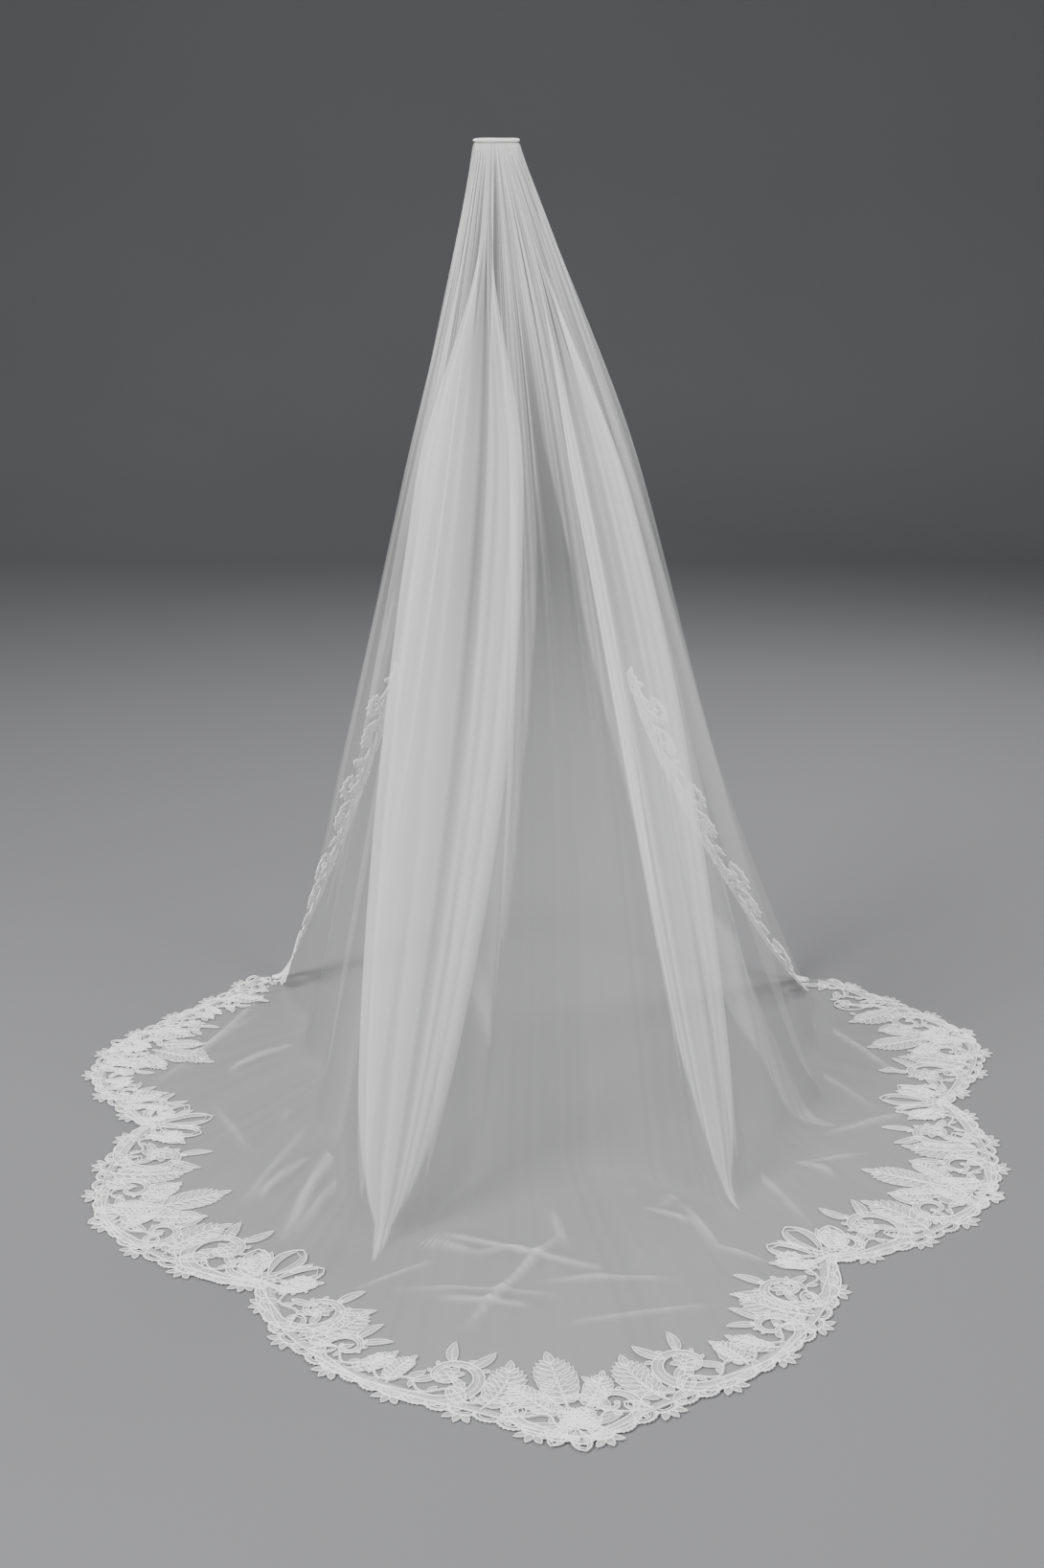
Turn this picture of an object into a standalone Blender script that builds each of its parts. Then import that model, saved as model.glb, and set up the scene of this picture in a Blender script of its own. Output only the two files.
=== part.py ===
"""Bridal veil of gathered tulle with a scalloped lace border, hung by its comb, train on the floor."""
import math

import bpy
import bmesh
import numpy as np
from mathutils import Vector
from mathutils.geometry import delaunay_2d_cdt

# Sizes in metres. The comb is the origin, the wearer faces +Y and the train runs out to -Y.
COMB_HEIGHT = 1.75
FLOOR = -COMB_HEIGHT
WALL = 0.0012
SEAM = 0.0003

# The gathered top and the pieces that hold it.
BAND_WIDTH = 0.094
BAND_DEPTH = 0.017
BAND_HEIGHT = 0.009
GATHER_WIDTH = 0.088
GATHER_COLUMNS = 6
GATHER_SHARE = 0.085
GATHER_FADE = 0.75
COMB_WIDTH = 0.086
COMB_THICK = 0.0022
COMB_SPINE = 0.009
COMB_LENGTH = 0.042
COMB_TEETH = 16

# Hem of the train on the floor, one row for each large scallop from the left side to the right.
# foot says at which end a scallop meets a free side edge, where it leaves the floor line slowly.
SCALLOPS = (
    # name, start_x, start_y, end_x, end_y, depth, fullness, skew, foot, tip
    ("left_side", -0.545, -0.042, -0.638, -0.811, 0.182, 1.00, 1.50, "start", 0.0),
    ("left_back", -0.638, -0.811, -0.358, -1.378, 0.160, 0.75, 1.00, "none", 0.0),
    ("middle", -0.358, -1.378, 0.544, -1.300, 0.390, 0.50, 1.00, "none", 0.055),
    ("right_back", 0.544, -1.300, 0.848, -0.712, 0.165, 0.75, 1.00, "none", 0.0),
    ("right_side", 0.848, -0.712, 0.735, -0.059, 0.168, 1.00, 1.25, "end", 0.0),
)
HEM_SAMPLES = 48
TIP_WIDTH = 0.10
TULLE_INSET = 0.016

# Where the hanging cloth touches down. Bearings are degrees round the point below the comb.
# sag pulls a ray in, billow swells its upper half, sway carries it sideways half way down.
RAYS = (
    # bearing, reach, sag, billow, sway
    (184.4, 0.470, 0.030, 0.000, 0.000),
    (200.0, 0.480, 0.030, 0.000, 0.000),
    (217.0, 0.495, 0.030, 0.000, 0.005),
    (238.0, 0.640, 0.030, 0.000, 0.010),
    (252.0, 0.900, 0.020, 0.000, 0.020),
    (262.0, 1.250, 0.000, 0.000, 0.030),
    (268.5, 1.020, 0.000, 0.000, 0.034),
    (277.0, 0.960, 0.000, 0.000, 0.036),
    (284.0, 1.020, 0.000, 0.010, 0.040),
    (290.0, 1.160, 0.000, 0.010, 0.042),
    (297.0, 1.000, 0.000, 0.020, 0.034),
    (307.6, 0.960, 0.010, 0.020, 0.020),
    (319.0, 0.800, 0.015, 0.030, 0.010),
    (337.0, 0.715, 0.015, 0.030, 0.000),
    (355.4, 0.640, 0.015, 0.030, 0.000),
)

# Deep flutes, where the sheet swells to the front and folds in behind itself on both sides.
FLUTES = (
    # name, bearing, spread, half_width, depth, starts, ends
    ("left_flute", 262.0, 2.4, 0.096, 0.050, 0.05, 0.985),
    ("right_flute", 290.0, 2.0, 0.050, 0.040, 0.07, 0.985),
)

# The free side edges curl round to the far side between the comb and the floor.
CURLS = (
    # name, bearing, spread, inward, back
    ("left_edge", 184.4, 16.0, 0.085, 0.060),
    ("right_edge", 355.4, 16.0, 0.120, 0.070),
)

# Columns of the sheet, one row for each stretch from bearing to bearing.
COLUMNS = (
    # stretch, from_bearing, to_bearing, columns
    ("tulle_left", 184.4, 200.0, 6),
    ("tulle_left", 200.0, 231.8, 10),
    ("tulle_left", 231.8, 252.0, 8),
    ("tulle_left_flute", 252.0, 259.4, 4),
    ("tulle_left_flute", 259.4, 264.6, 14),
    ("tulle_left_flute", 264.6, 268.5, 2),
    ("tulle_middle", 268.5, 284.0, 9),
    ("tulle_right_flute", 284.0, 287.8, 2),
    ("tulle_right_flute", 287.8, 292.2, 12),
    ("tulle_right_flute", 292.2, 297.0, 3),
    ("tulle_right", 297.0, 307.6, 5),
    ("tulle_right", 307.6, 320.0, 5),
    ("tulle_right", 320.0, 340.0, 7),
    ("tulle_right", 340.0, 355.4, 6),
)
HANG_ROWS = (0.0, 0.015, 0.045, 0.09, 0.15, 0.22, 0.31, 0.41, 0.52, 0.64, 0.76, 0.86, 0.93, 0.97, 1.0, 1.03, 1.06)
TRAIN_ROWS = 5
FLARE = 0.022

# Soft ridges that lift the train off the floor, each from one bearing and radius to another.
RIDGES = (
    # from_bearing, from_radius, to_bearing, to_radius, height, width
    (212.0, 0.56, 213.0, 0.74, 0.012, 0.030),
    (226.0, 0.60, 228.0, 0.84, 0.010, 0.030),
    (243.0, 0.84, 244.5, 1.14, 0.014, 0.032),
    (251.0, 1.00, 250.0, 1.20, 0.010, 0.026),
    (266.0, 1.22, 277.0, 1.34, 0.009, 0.028),
    (263.0, 1.40, 272.0, 1.44, 0.008, 0.026),
    (283.0, 1.16, 288.0, 1.28, 0.009, 0.028),
    (299.0, 1.10, 301.0, 1.22, 0.012, 0.028),
    (315.0, 0.90, 315.5, 1.08, 0.012, 0.030),
    (333.0, 0.76, 332.0, 0.90, 0.012, 0.030),
)
LACE_BAND = 0.240

# Lace lies on the cloth. Its motifs are drawn flat, along the edge and inward from it.
LACE_THICK = 0.0016
CORD = 0.0075
LOBE_PITCH = 0.072
LOBE_DEPTH = 0.014
CELL_PITCH = 0.290

# Lace up the free side edges, laid out flat on a strip of the sheet beside the edge.
SIDE_LACES = (
    # name, edge_first, length, width
    ("lace_left", True, 0.62, 0.105),
    ("lace_right", False, 0.66, 0.120),
)
SIDE_START = 0.004
SIDE_INSET = 0.002
STRIP_ROWS = 7
STRIP_COLUMNS = 9

TULLE_COLOUR = (0.80, 0.80, 0.79)
LACE_COLOUR = (0.88, 0.88, 0.87)
BAND_COLOUR = (0.86, 0.86, 0.85)
COMB_COLOUR = (0.62, 0.62, 0.62)


def smooth(x):
    """Ease from 0 to 1."""
    x = min(max(x, 0.0), 1.0)
    return x * x * (3.0 - 2.0 * x)


def hem_outline():
    """Points along the hem and the place of each scallop's first point."""
    points = []
    starts = []
    for name, x0, y0, x1, y1, depth, fullness, skew, foot, tip in SCALLOPS:
        starts.append(len(points))
        along = Vector((x1 - x0, y1 - y0))
        out = Vector((along.y, -along.x)).normalized()
        for i in range(HEM_SAMPLES):
            u = i / HEM_SAMPLES
            v = u
            if foot == "start":
                v = u ** skew
            elif foot == "end":
                v = 1.0 - (1.0 - u) ** skew
            bulge = depth * math.sin(math.pi * v) ** fullness
            bulge += tip * math.exp(-((u - 0.5) * along.length / TIP_WIDTH) ** 2)
            points.append(Vector((x0, y0)) + along * u + out * bulge)
    points.append(Vector(SCALLOPS[-1][3:5]))
    starts.append(len(points) - 1)
    return points, starts


HEM, HEM_STARTS = hem_outline()
HEM_BEARINGS = [math.degrees(math.atan2(p.y, p.x)) % 360.0 for p in HEM]
HEM_RADII = [p.length for p in HEM]


def hem_radius(bearing):
    return float(np.interp(bearing, HEM_BEARINGS, HEM_RADII))


def ray(bearing):
    """Reach, sag, billow and sway of the ray at a bearing, eased between the table's rows."""
    if bearing <= RAYS[0][0]:
        return RAYS[0][1:]
    for low, high in zip(RAYS, RAYS[1:]):
        if bearing <= high[0]:
            k = smooth((bearing - low[0]) / (high[0] - low[0]))
            return tuple(a + (b - a) * k for a, b in zip(low[1:], high[1:]))
    return RAYS[-1][1:]


def swell(t, starts, ends):
    """A fold's strength down its ray: nothing at its ends, nearly full between."""
    if t <= starts or t >= ends:
        return 0.0
    rise = smooth((t - starts) / 0.30)
    return rise * math.sin(math.pi * (t - starts) / (ends - starts)) ** 0.6


def sheet_point(bearing, share, t):
    """A point of the hanging sheet. share runs 0 to 1 along the gathered edge, t down the ray."""
    reach, sag, billow, sway = ray(bearing)
    angle = math.radians(bearing)
    out = Vector((math.cos(angle), math.sin(angle), 0.0))
    across = Vector((-math.sin(angle), math.cos(angle), 0.0))
    hang = min(t, 1.0)
    radius = reach * (t - sag * math.sin(math.pi * hang) + billow * math.sin(2.0 * math.pi * hang))
    top = Vector(((share - 0.5) * GATHER_WIDTH, -0.002, 0.0)) * (1.0 - hang)
    point = top + out * radius + across * (sway * math.sin(math.pi * hang))
    for _name, centre, spread, half_width, depth, starts, ends in FLUTES:
        q = (bearing - centre) / spread
        strength = swell(t, starts, ends)
        if abs(q) < 1.0:
            point += across * (half_width * math.sin(math.pi * q) * strength)
            point += out * (depth * (0.5 + 0.5 * math.cos(math.pi * q)) ** 0.6 * strength)
    for _name, edge, spread, inward, back in CURLS:
        near = max(0.0, 1.0 - abs(bearing - edge) / spread)
        pull = near * near * math.sin(math.pi * hang ** 1.3)
        point.x += math.copysign(inward, 270.0 - edge) * pull
        point.y += back * pull
    drop = FLARE * math.log1p(math.exp((COMB_HEIGHT * (1.0 - t)) / FLARE))
    if t < 0.5:
        drop = COMB_HEIGHT * (1.0 - t)
    point.z = FLOOR + drop + 0.5 * WALL
    return point


def columns():
    """Stretch name and bearing of each column."""
    names = []
    bearings = []
    for name, low, high, count in COLUMNS:
        for i in range(count):
            names.append(name)
            bearings.append(low + (high - low) * i / count)
    names.append(COLUMNS[-1][0])
    bearings.append(COLUMNS[-1][2])
    return names, bearings


def hanging_grid(bearings):
    """Rows of points from the gathered edge to the floor, with small gathers pressed in."""
    last = len(bearings) - 1
    rows = []
    for t in HANG_ROWS:
        plain = [sheet_point(b, i / last, t) for i, b in enumerate(bearings)]
        fade = 1.0 - smooth(t / GATHER_FADE)
        row = []
        for i, p in enumerate(plain):
            before = max(i - 1, 0)
            after = min(i + 1, last)
            along = plain[after] - plain[before]
            near = range(max(i - 3, 0), min(i + 3, last))
            step = min((plain[k + 1] - plain[k]).length for k in near)
            side = Vector((along.y, -along.x, 0.0)).normalized()
            wave = math.cos(2.0 * math.pi * i / GATHER_COLUMNS)
            for _name, centre, spread, _half_width, _depth, starts, ends in FLUTES:
                if abs(bearings[i] - centre) < 1.7 * spread:
                    wave *= max(0.0, 1.0 - 4.0 * swell(t, starts, ends))
            row.append(p + side * (wave * fade * GATHER_SHARE * GATHER_COLUMNS * step))
        rows.append(row)
    for p in rows[0]:
        p.z = -0.5 * BAND_HEIGHT - SEAM - 0.5 * WALL
    return rows


def ridge_height(x, y):
    """Lift of the train at a place on the floor, nothing inside the lace band."""
    here = Vector((x, y))
    room = smooth((min((here - p).length for p in HEM) - LACE_BAND) / 0.04)
    lift = 0.0
    for b0, r0, b1, r1, height, width in RIDGES:
        a = Vector((math.cos(math.radians(b0)), math.sin(math.radians(b0)))) * r0
        b = Vector((math.cos(math.radians(b1)), math.sin(math.radians(b1)))) * r1
        k = min(max((here - a).dot(b - a) / (b - a).length_squared, 0.0), 1.0)
        lift += height * math.exp(-((here - a.lerp(b, k)).length / width) ** 2)
    return lift * room


def train_grid(bearings, first_row):
    """Rows of points on the floor, from the foot of the hanging cloth to the hem."""
    rows = []
    for j in range(TRAIN_ROWS + 1):
        k = j / TRAIN_ROWS
        row = []
        for bearing, start in zip(bearings, first_row):
            angle = math.radians(bearing)
            end = Vector((math.cos(angle), math.sin(angle))) * (hem_radius(bearing) - TULLE_INSET)
            spot = Vector((start.x, start.y)).lerp(end, k)
            lift = ridge_height(spot.x, spot.y) * smooth(k * 4.0)
            row.append(Vector((spot.x, spot.y, FLOOR + 0.5 * WALL + lift)))
        rows.append(row)
    return rows


def wall_grids(rows, thick):
    """The two faces of a wall on a grid of points, half its thickness out on each side."""
    high = len(rows)
    wide = len(rows[0])
    grids = ([], [])
    for j in range(high):
        lines = ([], [])
        for i in range(wide):
            right = rows[j][min(i + 1, wide - 1)] - rows[j][max(i - 1, 0)]
            down = rows[min(j + 1, high - 1)][i] - rows[max(j - 1, 0)][i]
            normal = down.cross(right).normalized()
            for line, side in zip(lines, (0.5, -0.5)):
                p = rows[j][i] + normal * (side * thick)
                p.z = max(p.z, FLOOR)
                line.append(p)
        grids[0].append(lines[0])
        grids[1].append(lines[1])
    return grids


def cut_grid(rows, first_row, last_row, first, last):
    """Part of a grid, drawn in by half a seam where it meets another part."""
    part = [[p.copy() for p in row[first:last + 1]] for row in rows[first_row:last_row + 1]]
    for line in part:
        if first > 0:
            line[0] += (line[1] - line[0]).normalized() * (0.6 * SEAM)
        if last < len(rows[0]) - 1:
            line[-1] += (line[-2] - line[-1]).normalized() * (0.6 * SEAM)
    for i in range(len(part[0])):
        if first_row > 0:
            part[0][i] += (part[1][i] - part[0][i]).normalized() * (0.6 * SEAM)
        if last_row < len(rows) - 1:
            part[-1][i] += (part[-2][i] - part[-1][i]).normalized() * (0.6 * SEAM)
    return part


def wall_mesh(upper, lower):
    """A closed wall between two grids of points."""
    high = len(upper)
    wide = len(upper[0])
    verts = [p for row in upper for p in row] + [p for row in lower for p in row]
    half = high * wide
    faces = []
    for j in range(high - 1):
        for i in range(wide - 1):
            a = j * wide + i
            faces.append((a, a + wide, a + wide + 1))
            faces.append((a, a + wide + 1, a + 1))
            faces.append((half + a, half + a + wide + 1, half + a + wide))
            faces.append((half + a, half + a + 1, half + a + wide + 1))
    rim = [i for i in range(wide)]
    rim += [j * wide + wide - 1 for j in range(1, high)]
    rim += [(high - 1) * wide + i for i in range(wide - 2, -1, -1)]
    rim += [j * wide for j in range(high - 2, 0, -1)]
    for a, b in zip(rim, rim[1:] + rim[:1]):
        faces.append((a, b, half + b))
        faces.append((a, half + b, half + a))
    return verts, faces


def add_object(name, verts, faces, material, collection):
    """A named mesh object with its faces split to triangles and turned outward."""
    mesh = bpy.data.meshes.new(name)
    mesh.from_pydata([tuple(v) for v in verts], [], faces)
    work = bmesh.new()
    work.from_mesh(mesh)
    bmesh.ops.triangulate(work, faces=work.faces[:])
    bmesh.ops.recalc_face_normals(work, faces=work.faces[:])
    work.to_mesh(mesh)
    work.free()
    mesh.materials.append(material)
    obj = bpy.data.objects.new(name, mesh)
    collection.objects.link(obj)
    return obj


def make_material(name, colour, roughness):
    material = bpy.data.materials.new(name)
    material.use_nodes = True
    shader = material.node_tree.nodes["Principled BSDF"]
    shader.inputs["Base Color"].default_value = (*colour, 1.0)
    shader.inputs["Roughness"].default_value = roughness
    shader.inputs["Metallic"].default_value = 0.0
    return material


# Lace motifs. Each gives small convex faces in flat measures: x along the edge, y inward.

def ribbon(path, widths):
    """Quads along a path, with a width at each of its points."""
    left = []
    right = []
    last = len(path) - 1
    for i, p in enumerate(path):
        along = (path[min(i + 1, last)] - path[max(i - 1, 0)]).normalized()
        side = Vector((-along.y, along.x))
        left.append(p + side * (0.5 * widths[i]))
        right.append(p - side * (0.5 * widths[i]))
    return [(left[i], right[i], right[i + 1], left[i + 1]) for i in range(last)]


def volute(centre, radius, start, turn, steps=7, rounds=1.05):
    """A cord that curls in on itself, from the given angle in degrees."""
    path = []
    widths = []
    for i in range(steps + 1):
        k = i / steps
        angle = math.radians(start + turn * 360.0 * rounds * k)
        r = radius * math.exp(-1.75 * k)
        path.append(centre + Vector((math.cos(angle), math.sin(angle))) * r)
        widths.append(0.0045 + 0.18 * r)
    return ribbon(path, widths)


def leaf(base, length, angle, width):
    """A pointed leaf of two convex halves."""
    along = Vector((math.cos(math.radians(angle)), math.sin(math.radians(angle))))
    side = Vector((-along.y, along.x))
    tip = base + along * length
    low = base + along * (0.25 * length)
    high = base + along * (0.65 * length)
    return [
        (base, low + side * (0.42 * width), low - side * (0.42 * width)),
        (low + side * (0.42 * width), high + side * (0.42 * width), high - side * (0.42 * width),
         low - side * (0.42 * width)),
        (high + side * (0.42 * width), tip, high - side * (0.42 * width)),
    ]


def fan(base, length, angle, leaves, spread):
    """Leaves spread from one point, the middle one longest."""
    faces = []
    for i in range(leaves):
        k = i / (leaves - 1) * 2.0 - 1.0
        size = length * (1.0 - 0.28 * abs(k))
        faces += leaf(base, size, angle + spread * k, 0.30 * size)
    return faces


def ring(centre, radius, width, sides):
    """An open eyelet."""
    corners = []
    for r in (radius + 0.5 * width, radius - 0.5 * width):
        corners.append([centre + Vector((math.cos(2.0 * math.pi * i / sides),
                                         math.sin(2.0 * math.pi * i / sides))) * r for i in range(sides)])
    outer, inner = corners
    return [(outer[i], outer[(i + 1) % sides], inner[(i + 1) % sides], inner[i]) for i in range(sides)]


def bar(a, b, width):
    return ribbon([a, b], [width, width])


# One repeat of the border for half a scallop: scrolls, leaves and eyelets from the edge inward.
MOTIFS = (
    # kind, along, inward, size, angle, turn
    ("volute", 0.088, 0.072, 0.060, -105.0, 1.0),
    ("volute", 0.210, 0.056, 0.044, -75.0, -1.0),
    ("leaf", 0.152, 0.012, 0.115, 86.0, 0.0),
    ("leaf", 0.022, 0.012, 0.076, 98.0, 0.0),
    ("leaf", 0.268, 0.012, 0.088, 84.0, 0.0),
    ("leaf", 0.085, 0.124, 0.050, 112.0, 0.0),
    ("leaf", 0.118, 0.116, 0.046, 58.0, 0.0),
    ("leaf", 0.212, 0.094, 0.052, 74.0, 0.0),
)


def motif_faces(kind, centre, size, angle, turn):
    if kind == "volute":
        return volute(centre, size, angle, turn)
    if kind == "leaf":
        return leaf(centre, size, angle, 0.32 * size)
    if kind == "fan":
        return fan(centre, size, angle, 3, 42.0)
    return ring(centre, size, 0.006, 8)


def edge_walk(points):
    """Running length of a line and a function that gives place, tangent and inward side at a length."""
    lengths = [0.0]
    for a, b in zip(points, points[1:]):
        lengths.append(lengths[-1] + (b - a).length)

    def at(s):
        s = min(max(s, 0.0), lengths[-1])
        i = min(int(np.searchsorted(lengths, s, side="right")) - 1, len(points) - 2)
        k = (s - lengths[i]) / (lengths[i + 1] - lengths[i])
        before = points[max(i - 1, 0)]
        after = points[min(i + 2, len(points) - 1)]
        along = (after - before).normalized()
        return points[i].lerp(points[i + 1], k), along, Vector((-along.y, along.x))

    return lengths[-1], at


def hem_lace_faces():
    """All faces of the hem lace, laid flat in plan."""
    faces = []
    for index in range(len(SCALLOPS)):
        first = HEM_STARTS[index]
        last = HEM_STARTS[index + 1]
        points = HEM[first:last + 1]
        length, at = edge_walk(points)
        lobes = max(4, round(length / LOBE_PITCH))
        path = []
        for i in range(lobes * 2 + 1):
            place, along, inward = at(length * i / (lobes * 2))
            dip = LOBE_DEPTH * (1.0 - math.sin(math.pi * (i % 2) / 2.0))
            path.append(place + inward * (dip + 0.5 * CORD))
        faces += ribbon(path, [CORD * 1.25] * len(path))
        cells = max(1, round(0.5 * length / CELL_PITCH))
        scale = 0.5 * length / (cells * CELL_PITCH)
        grow = min(max(scale, 0.85), 1.25)
        for cell in range(cells):
            for mirror in (1.0, -1.0):
                for kind, a, b, size, angle, turn in MOTIFS:
                    s = (cell + a / CELL_PITCH) * CELL_PITCH * scale
                    s = s if mirror > 0.0 else length - s
                    place, along, inward = at(s)
                    local = motif_faces(kind, Vector((0.0, 0.006 + (b - 0.006) * grow)), size * grow, angle, turn)
                    for face in local:
                        moved = [place + along * (mirror * p.x) + inward * p.y for p in face]
                        faces.append(moved if mirror > 0.0 else moved[::-1])
        place, along, inward = at(0.5 * length)
        for face in fan(Vector((0.0, 0.010)), 0.120, 90.0, 5, 58.0):
            faces.append([place + along * p.x + inward * p.y for p in face])
        if index > 0:
            place = points[0]
            middle = Vector((0.10, -0.55))
            inward = (middle - place).normalized()
            along = Vector((inward.y, -inward.x))
            for face in fan(Vector((0.0, 0.004)), 0.125, 90.0, 5, 66.0):
                faces.append([place + along * p.x + inward * p.y for p in face])
    return faces


def on_train(face):
    """Whether a flat face lies clear of the foot of the hanging cloth."""
    for p in face:
        bearing = math.degrees(math.atan2(p.y, p.x)) % 360.0
        if not RAYS[0][0] + 0.5 < bearing < RAYS[-1][0] - 0.5:
            return False
        if p.length < 1.065 * ray(bearing)[0] + 0.004:
            return False
    return True


def holds(face, p):
    """Whether a point lies in a convex flat face."""
    turns = [(b - a).cross(p - a) for a, b in zip(face, face[1:] + face[:1])]
    return min(turns) >= 0.0 or max(turns) <= 0.0


def flat_union(faces, creases=()):
    """Triangles of the joined area of many small faces, also cut along the edges of the creases."""
    points = []
    groups = []
    edges = []
    for face in faces:
        groups.append(list(range(len(points), len(points) + len(face))))
        points += [Vector((p.x, p.y)) for p in face]
    for triangle in creases:
        first = len(points)
        points += [corner[0] for corner in triangle]
        edges += [(first, first + 1), (first + 1, first + 2), (first + 2, first)]
    verts, _edges, tris, _ov, _oe, _of = delaunay_2d_cdt(points, edges, groups, 1, 1.0e-5)
    if not creases:
        return verts, tris
    kept = []
    for tri in tris:
        middle = (verts[tri[0]] + verts[tri[1]] + verts[tri[2]]) / 3.0
        if any(holds(face, middle) for face in faces):
            kept.append(tri)
    return verts, kept


def largest_region(verts, tris):
    """The triangles that hang together by their edges, the largest such group."""
    owner = {}
    for index, tri in enumerate(tris):
        for a, b in zip(tri, tri[1:] + tri[:1]):
            owner.setdefault((min(a, b), max(a, b)), []).append(index)
    links = [[] for _ in tris]
    for group in owner.values():
        if len(group) == 2:
            links[group[0]].append(group[1])
            links[group[1]].append(group[0])
    seen = [False] * len(tris)
    best = []
    best_area = 0.0
    for start in range(len(tris)):
        if seen[start]:
            continue
        seen[start] = True
        group = [start]
        for index in group:
            for other in links[index]:
                if not seen[other]:
                    seen[other] = True
                    group.append(other)
        area = sum(abs((verts[tris[g][1]] - verts[tris[g][0]]).cross(verts[tris[g][2]] - verts[tris[g][0]]))
                   for g in group)
        if area > best_area:
            best = group
            best_area = area
    return [tris[g] for g in best]


def plate_mesh(verts, tris, place_low, place_high):
    """A closed plate on flat triangles, its two faces placed by two functions of a flat point."""
    used = sorted({v for tri in tris for v in tri})
    number = {v: i for i, v in enumerate(used)}
    count = len(used)
    points = [place_high(verts[v]) for v in used] + [place_low(verts[v]) for v in used]
    faces = []
    borders = {}
    for tri in tris:
        a, b, c = (number[v] for v in tri)
        faces.append((a, b, c))
        faces.append((count + c, count + b, count + a))
        for p, q in ((a, b), (b, c), (c, a)):
            if (q, p) in borders:
                del borders[(q, p)]
            else:
                borders[(p, q)] = True
    for p, q in borders:
        faces.append((p, count + p, count + q, q))
    return points, faces


def split_pinches(verts, tris):
    """Give every fan of triangles that meets others only at a point a vertex of its own, a little apart."""
    verts = [Vector(v) for v in verts]
    tris = [list(tri) for tri in tris]
    around = {}
    for index, tri in enumerate(tris):
        for v in tri:
            around.setdefault(v, []).append(index)
    for v, group in around.items():
        left = set(group)
        fans = []
        while left:
            start = left.pop()
            part = [start]
            for index in part:
                for other in list(left):
                    if len(set(tris[index]) & set(tris[other])) == 2:
                        left.remove(other)
                        part.append(other)
            fans.append(part)
        for part in fans[1:]:
            middle = sum((verts[w] for index in part for w in tris[index]), Vector((0.0, 0.0)))
            middle /= 3 * len(part)
            verts.append(verts[v] + (middle - verts[v]).normalized() * 0.0006)
            for index in part:
                tris[index] = [len(verts) - 1 if w == v else w for w in tris[index]]
    return verts, tris


def side_lace_faces(length, width):
    """Lace for a free side edge: x along the edge from the floor up, y in from the edge."""
    faces = []
    steps = max(6, round(length / LOBE_PITCH)) * 2
    path = []
    for i in range(steps + 1):
        dip = LOBE_DEPTH * 0.7 * (1.0 - math.sin(math.pi * (i % 2) / 2.0))
        path.append(Vector((length * i / steps, dip + 0.5 * CORD)))
    faces += ribbon(path, [CORD] * len(path))
    cells = 3
    for cell in range(cells):
        scale = width / 0.115 * (1.0 - 0.12 * cell)
        for kind, a, b, size, angle, turn in MOTIFS:
            centre = Vector(((cell + a / CELL_PITCH) / cells * length, 0.006 + (b - 0.006) * scale))
            if centre.x < length * 0.97:
                faces += motif_faces(kind, centre, size * scale, angle, turn)
    faces += leaf(Vector((length * 0.985, 0.006)), 0.050, 20.0, 0.014)
    return faces


def side_strip(upper, lower, foot, edge_first):
    """The outer face of the sheet beside a free edge, laid flat as triangles.

    Each triangle has its three flat corners, their places on the face and the ways out of it.
    """
    flat = []
    for k in range(STRIP_ROWS + 1):
        line = []
        for c in range(STRIP_COLUMNS + 1):
            row = foot - k
            column = c if edge_first else len(upper[0]) - 1 - c
            here = upper[row][column]
            out = (here - lower[row][column]).normalized()
            if k == 0 and c == 0:
                spot = Vector((0.0, 0.0))
            elif c == 0:
                spot = Vector((flat[-1][0][0].x + (here - flat[-1][0][1]).length, 0.0))
            else:
                spot = Vector((line[0][0].x, line[-1][0].y + (here - line[-1][1]).length))
            line.append((spot, here, out))
        flat.append(line)
    triangles = []
    for low, high in zip(flat, flat[1:]):
        for c in range(STRIP_COLUMNS):
            if edge_first:
                triangles.append((low[c], low[c + 1], high[c]))
                triangles.append((low[c + 1], high[c + 1], high[c]))
            else:
                triangles.append((low[c], low[c + 1], high[c + 1]))
                triangles.append((low[c], high[c + 1], high[c]))
    return triangles


def strip_place(triangles, p, lift):
    """Where a flat point lies on the strip, lifted off it."""
    best = None
    for corners in triangles:
        a, b, c = (corner[0] for corner in corners)
        area = (b - a).cross(c - a)
        shares = ((b - p).cross(c - p) / area, (c - p).cross(a - p) / area, (a - p).cross(b - p) / area)
        if best is None or min(shares) > min(best[0]):
            best = (shares, corners)
    shares, corners = best
    spot = sum((corner[1] * share for corner, share in zip(corners, shares)), Vector((0.0, 0.0, 0.0)))
    out = sum((corner[2] * share for corner, share in zip(corners, shares)), Vector((0.0, 0.0, 0.0)))
    return spot + out.normalized() * lift


def comb_outline():
    """Flat outline of the comb: a spine with tapering teeth below."""
    half = 0.5 * COMB_WIDTH
    pitch = COMB_WIDTH / COMB_TEETH
    points = [Vector((-half, 0.0)), Vector((half, 0.0))]
    for i in range(COMB_TEETH - 1, -1, -1):
        left = -half + pitch * (i + 0.22)
        right = -half + pitch * (i + 0.78)
        points.append(Vector((right, -COMB_SPINE)))
        points.append(Vector((right - 0.25 * pitch, -COMB_LENGTH)))
        points.append(Vector((left + 0.25 * pitch, -COMB_LENGTH)))
        points.append(Vector((left, -COMB_SPINE)))
    return points


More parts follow.
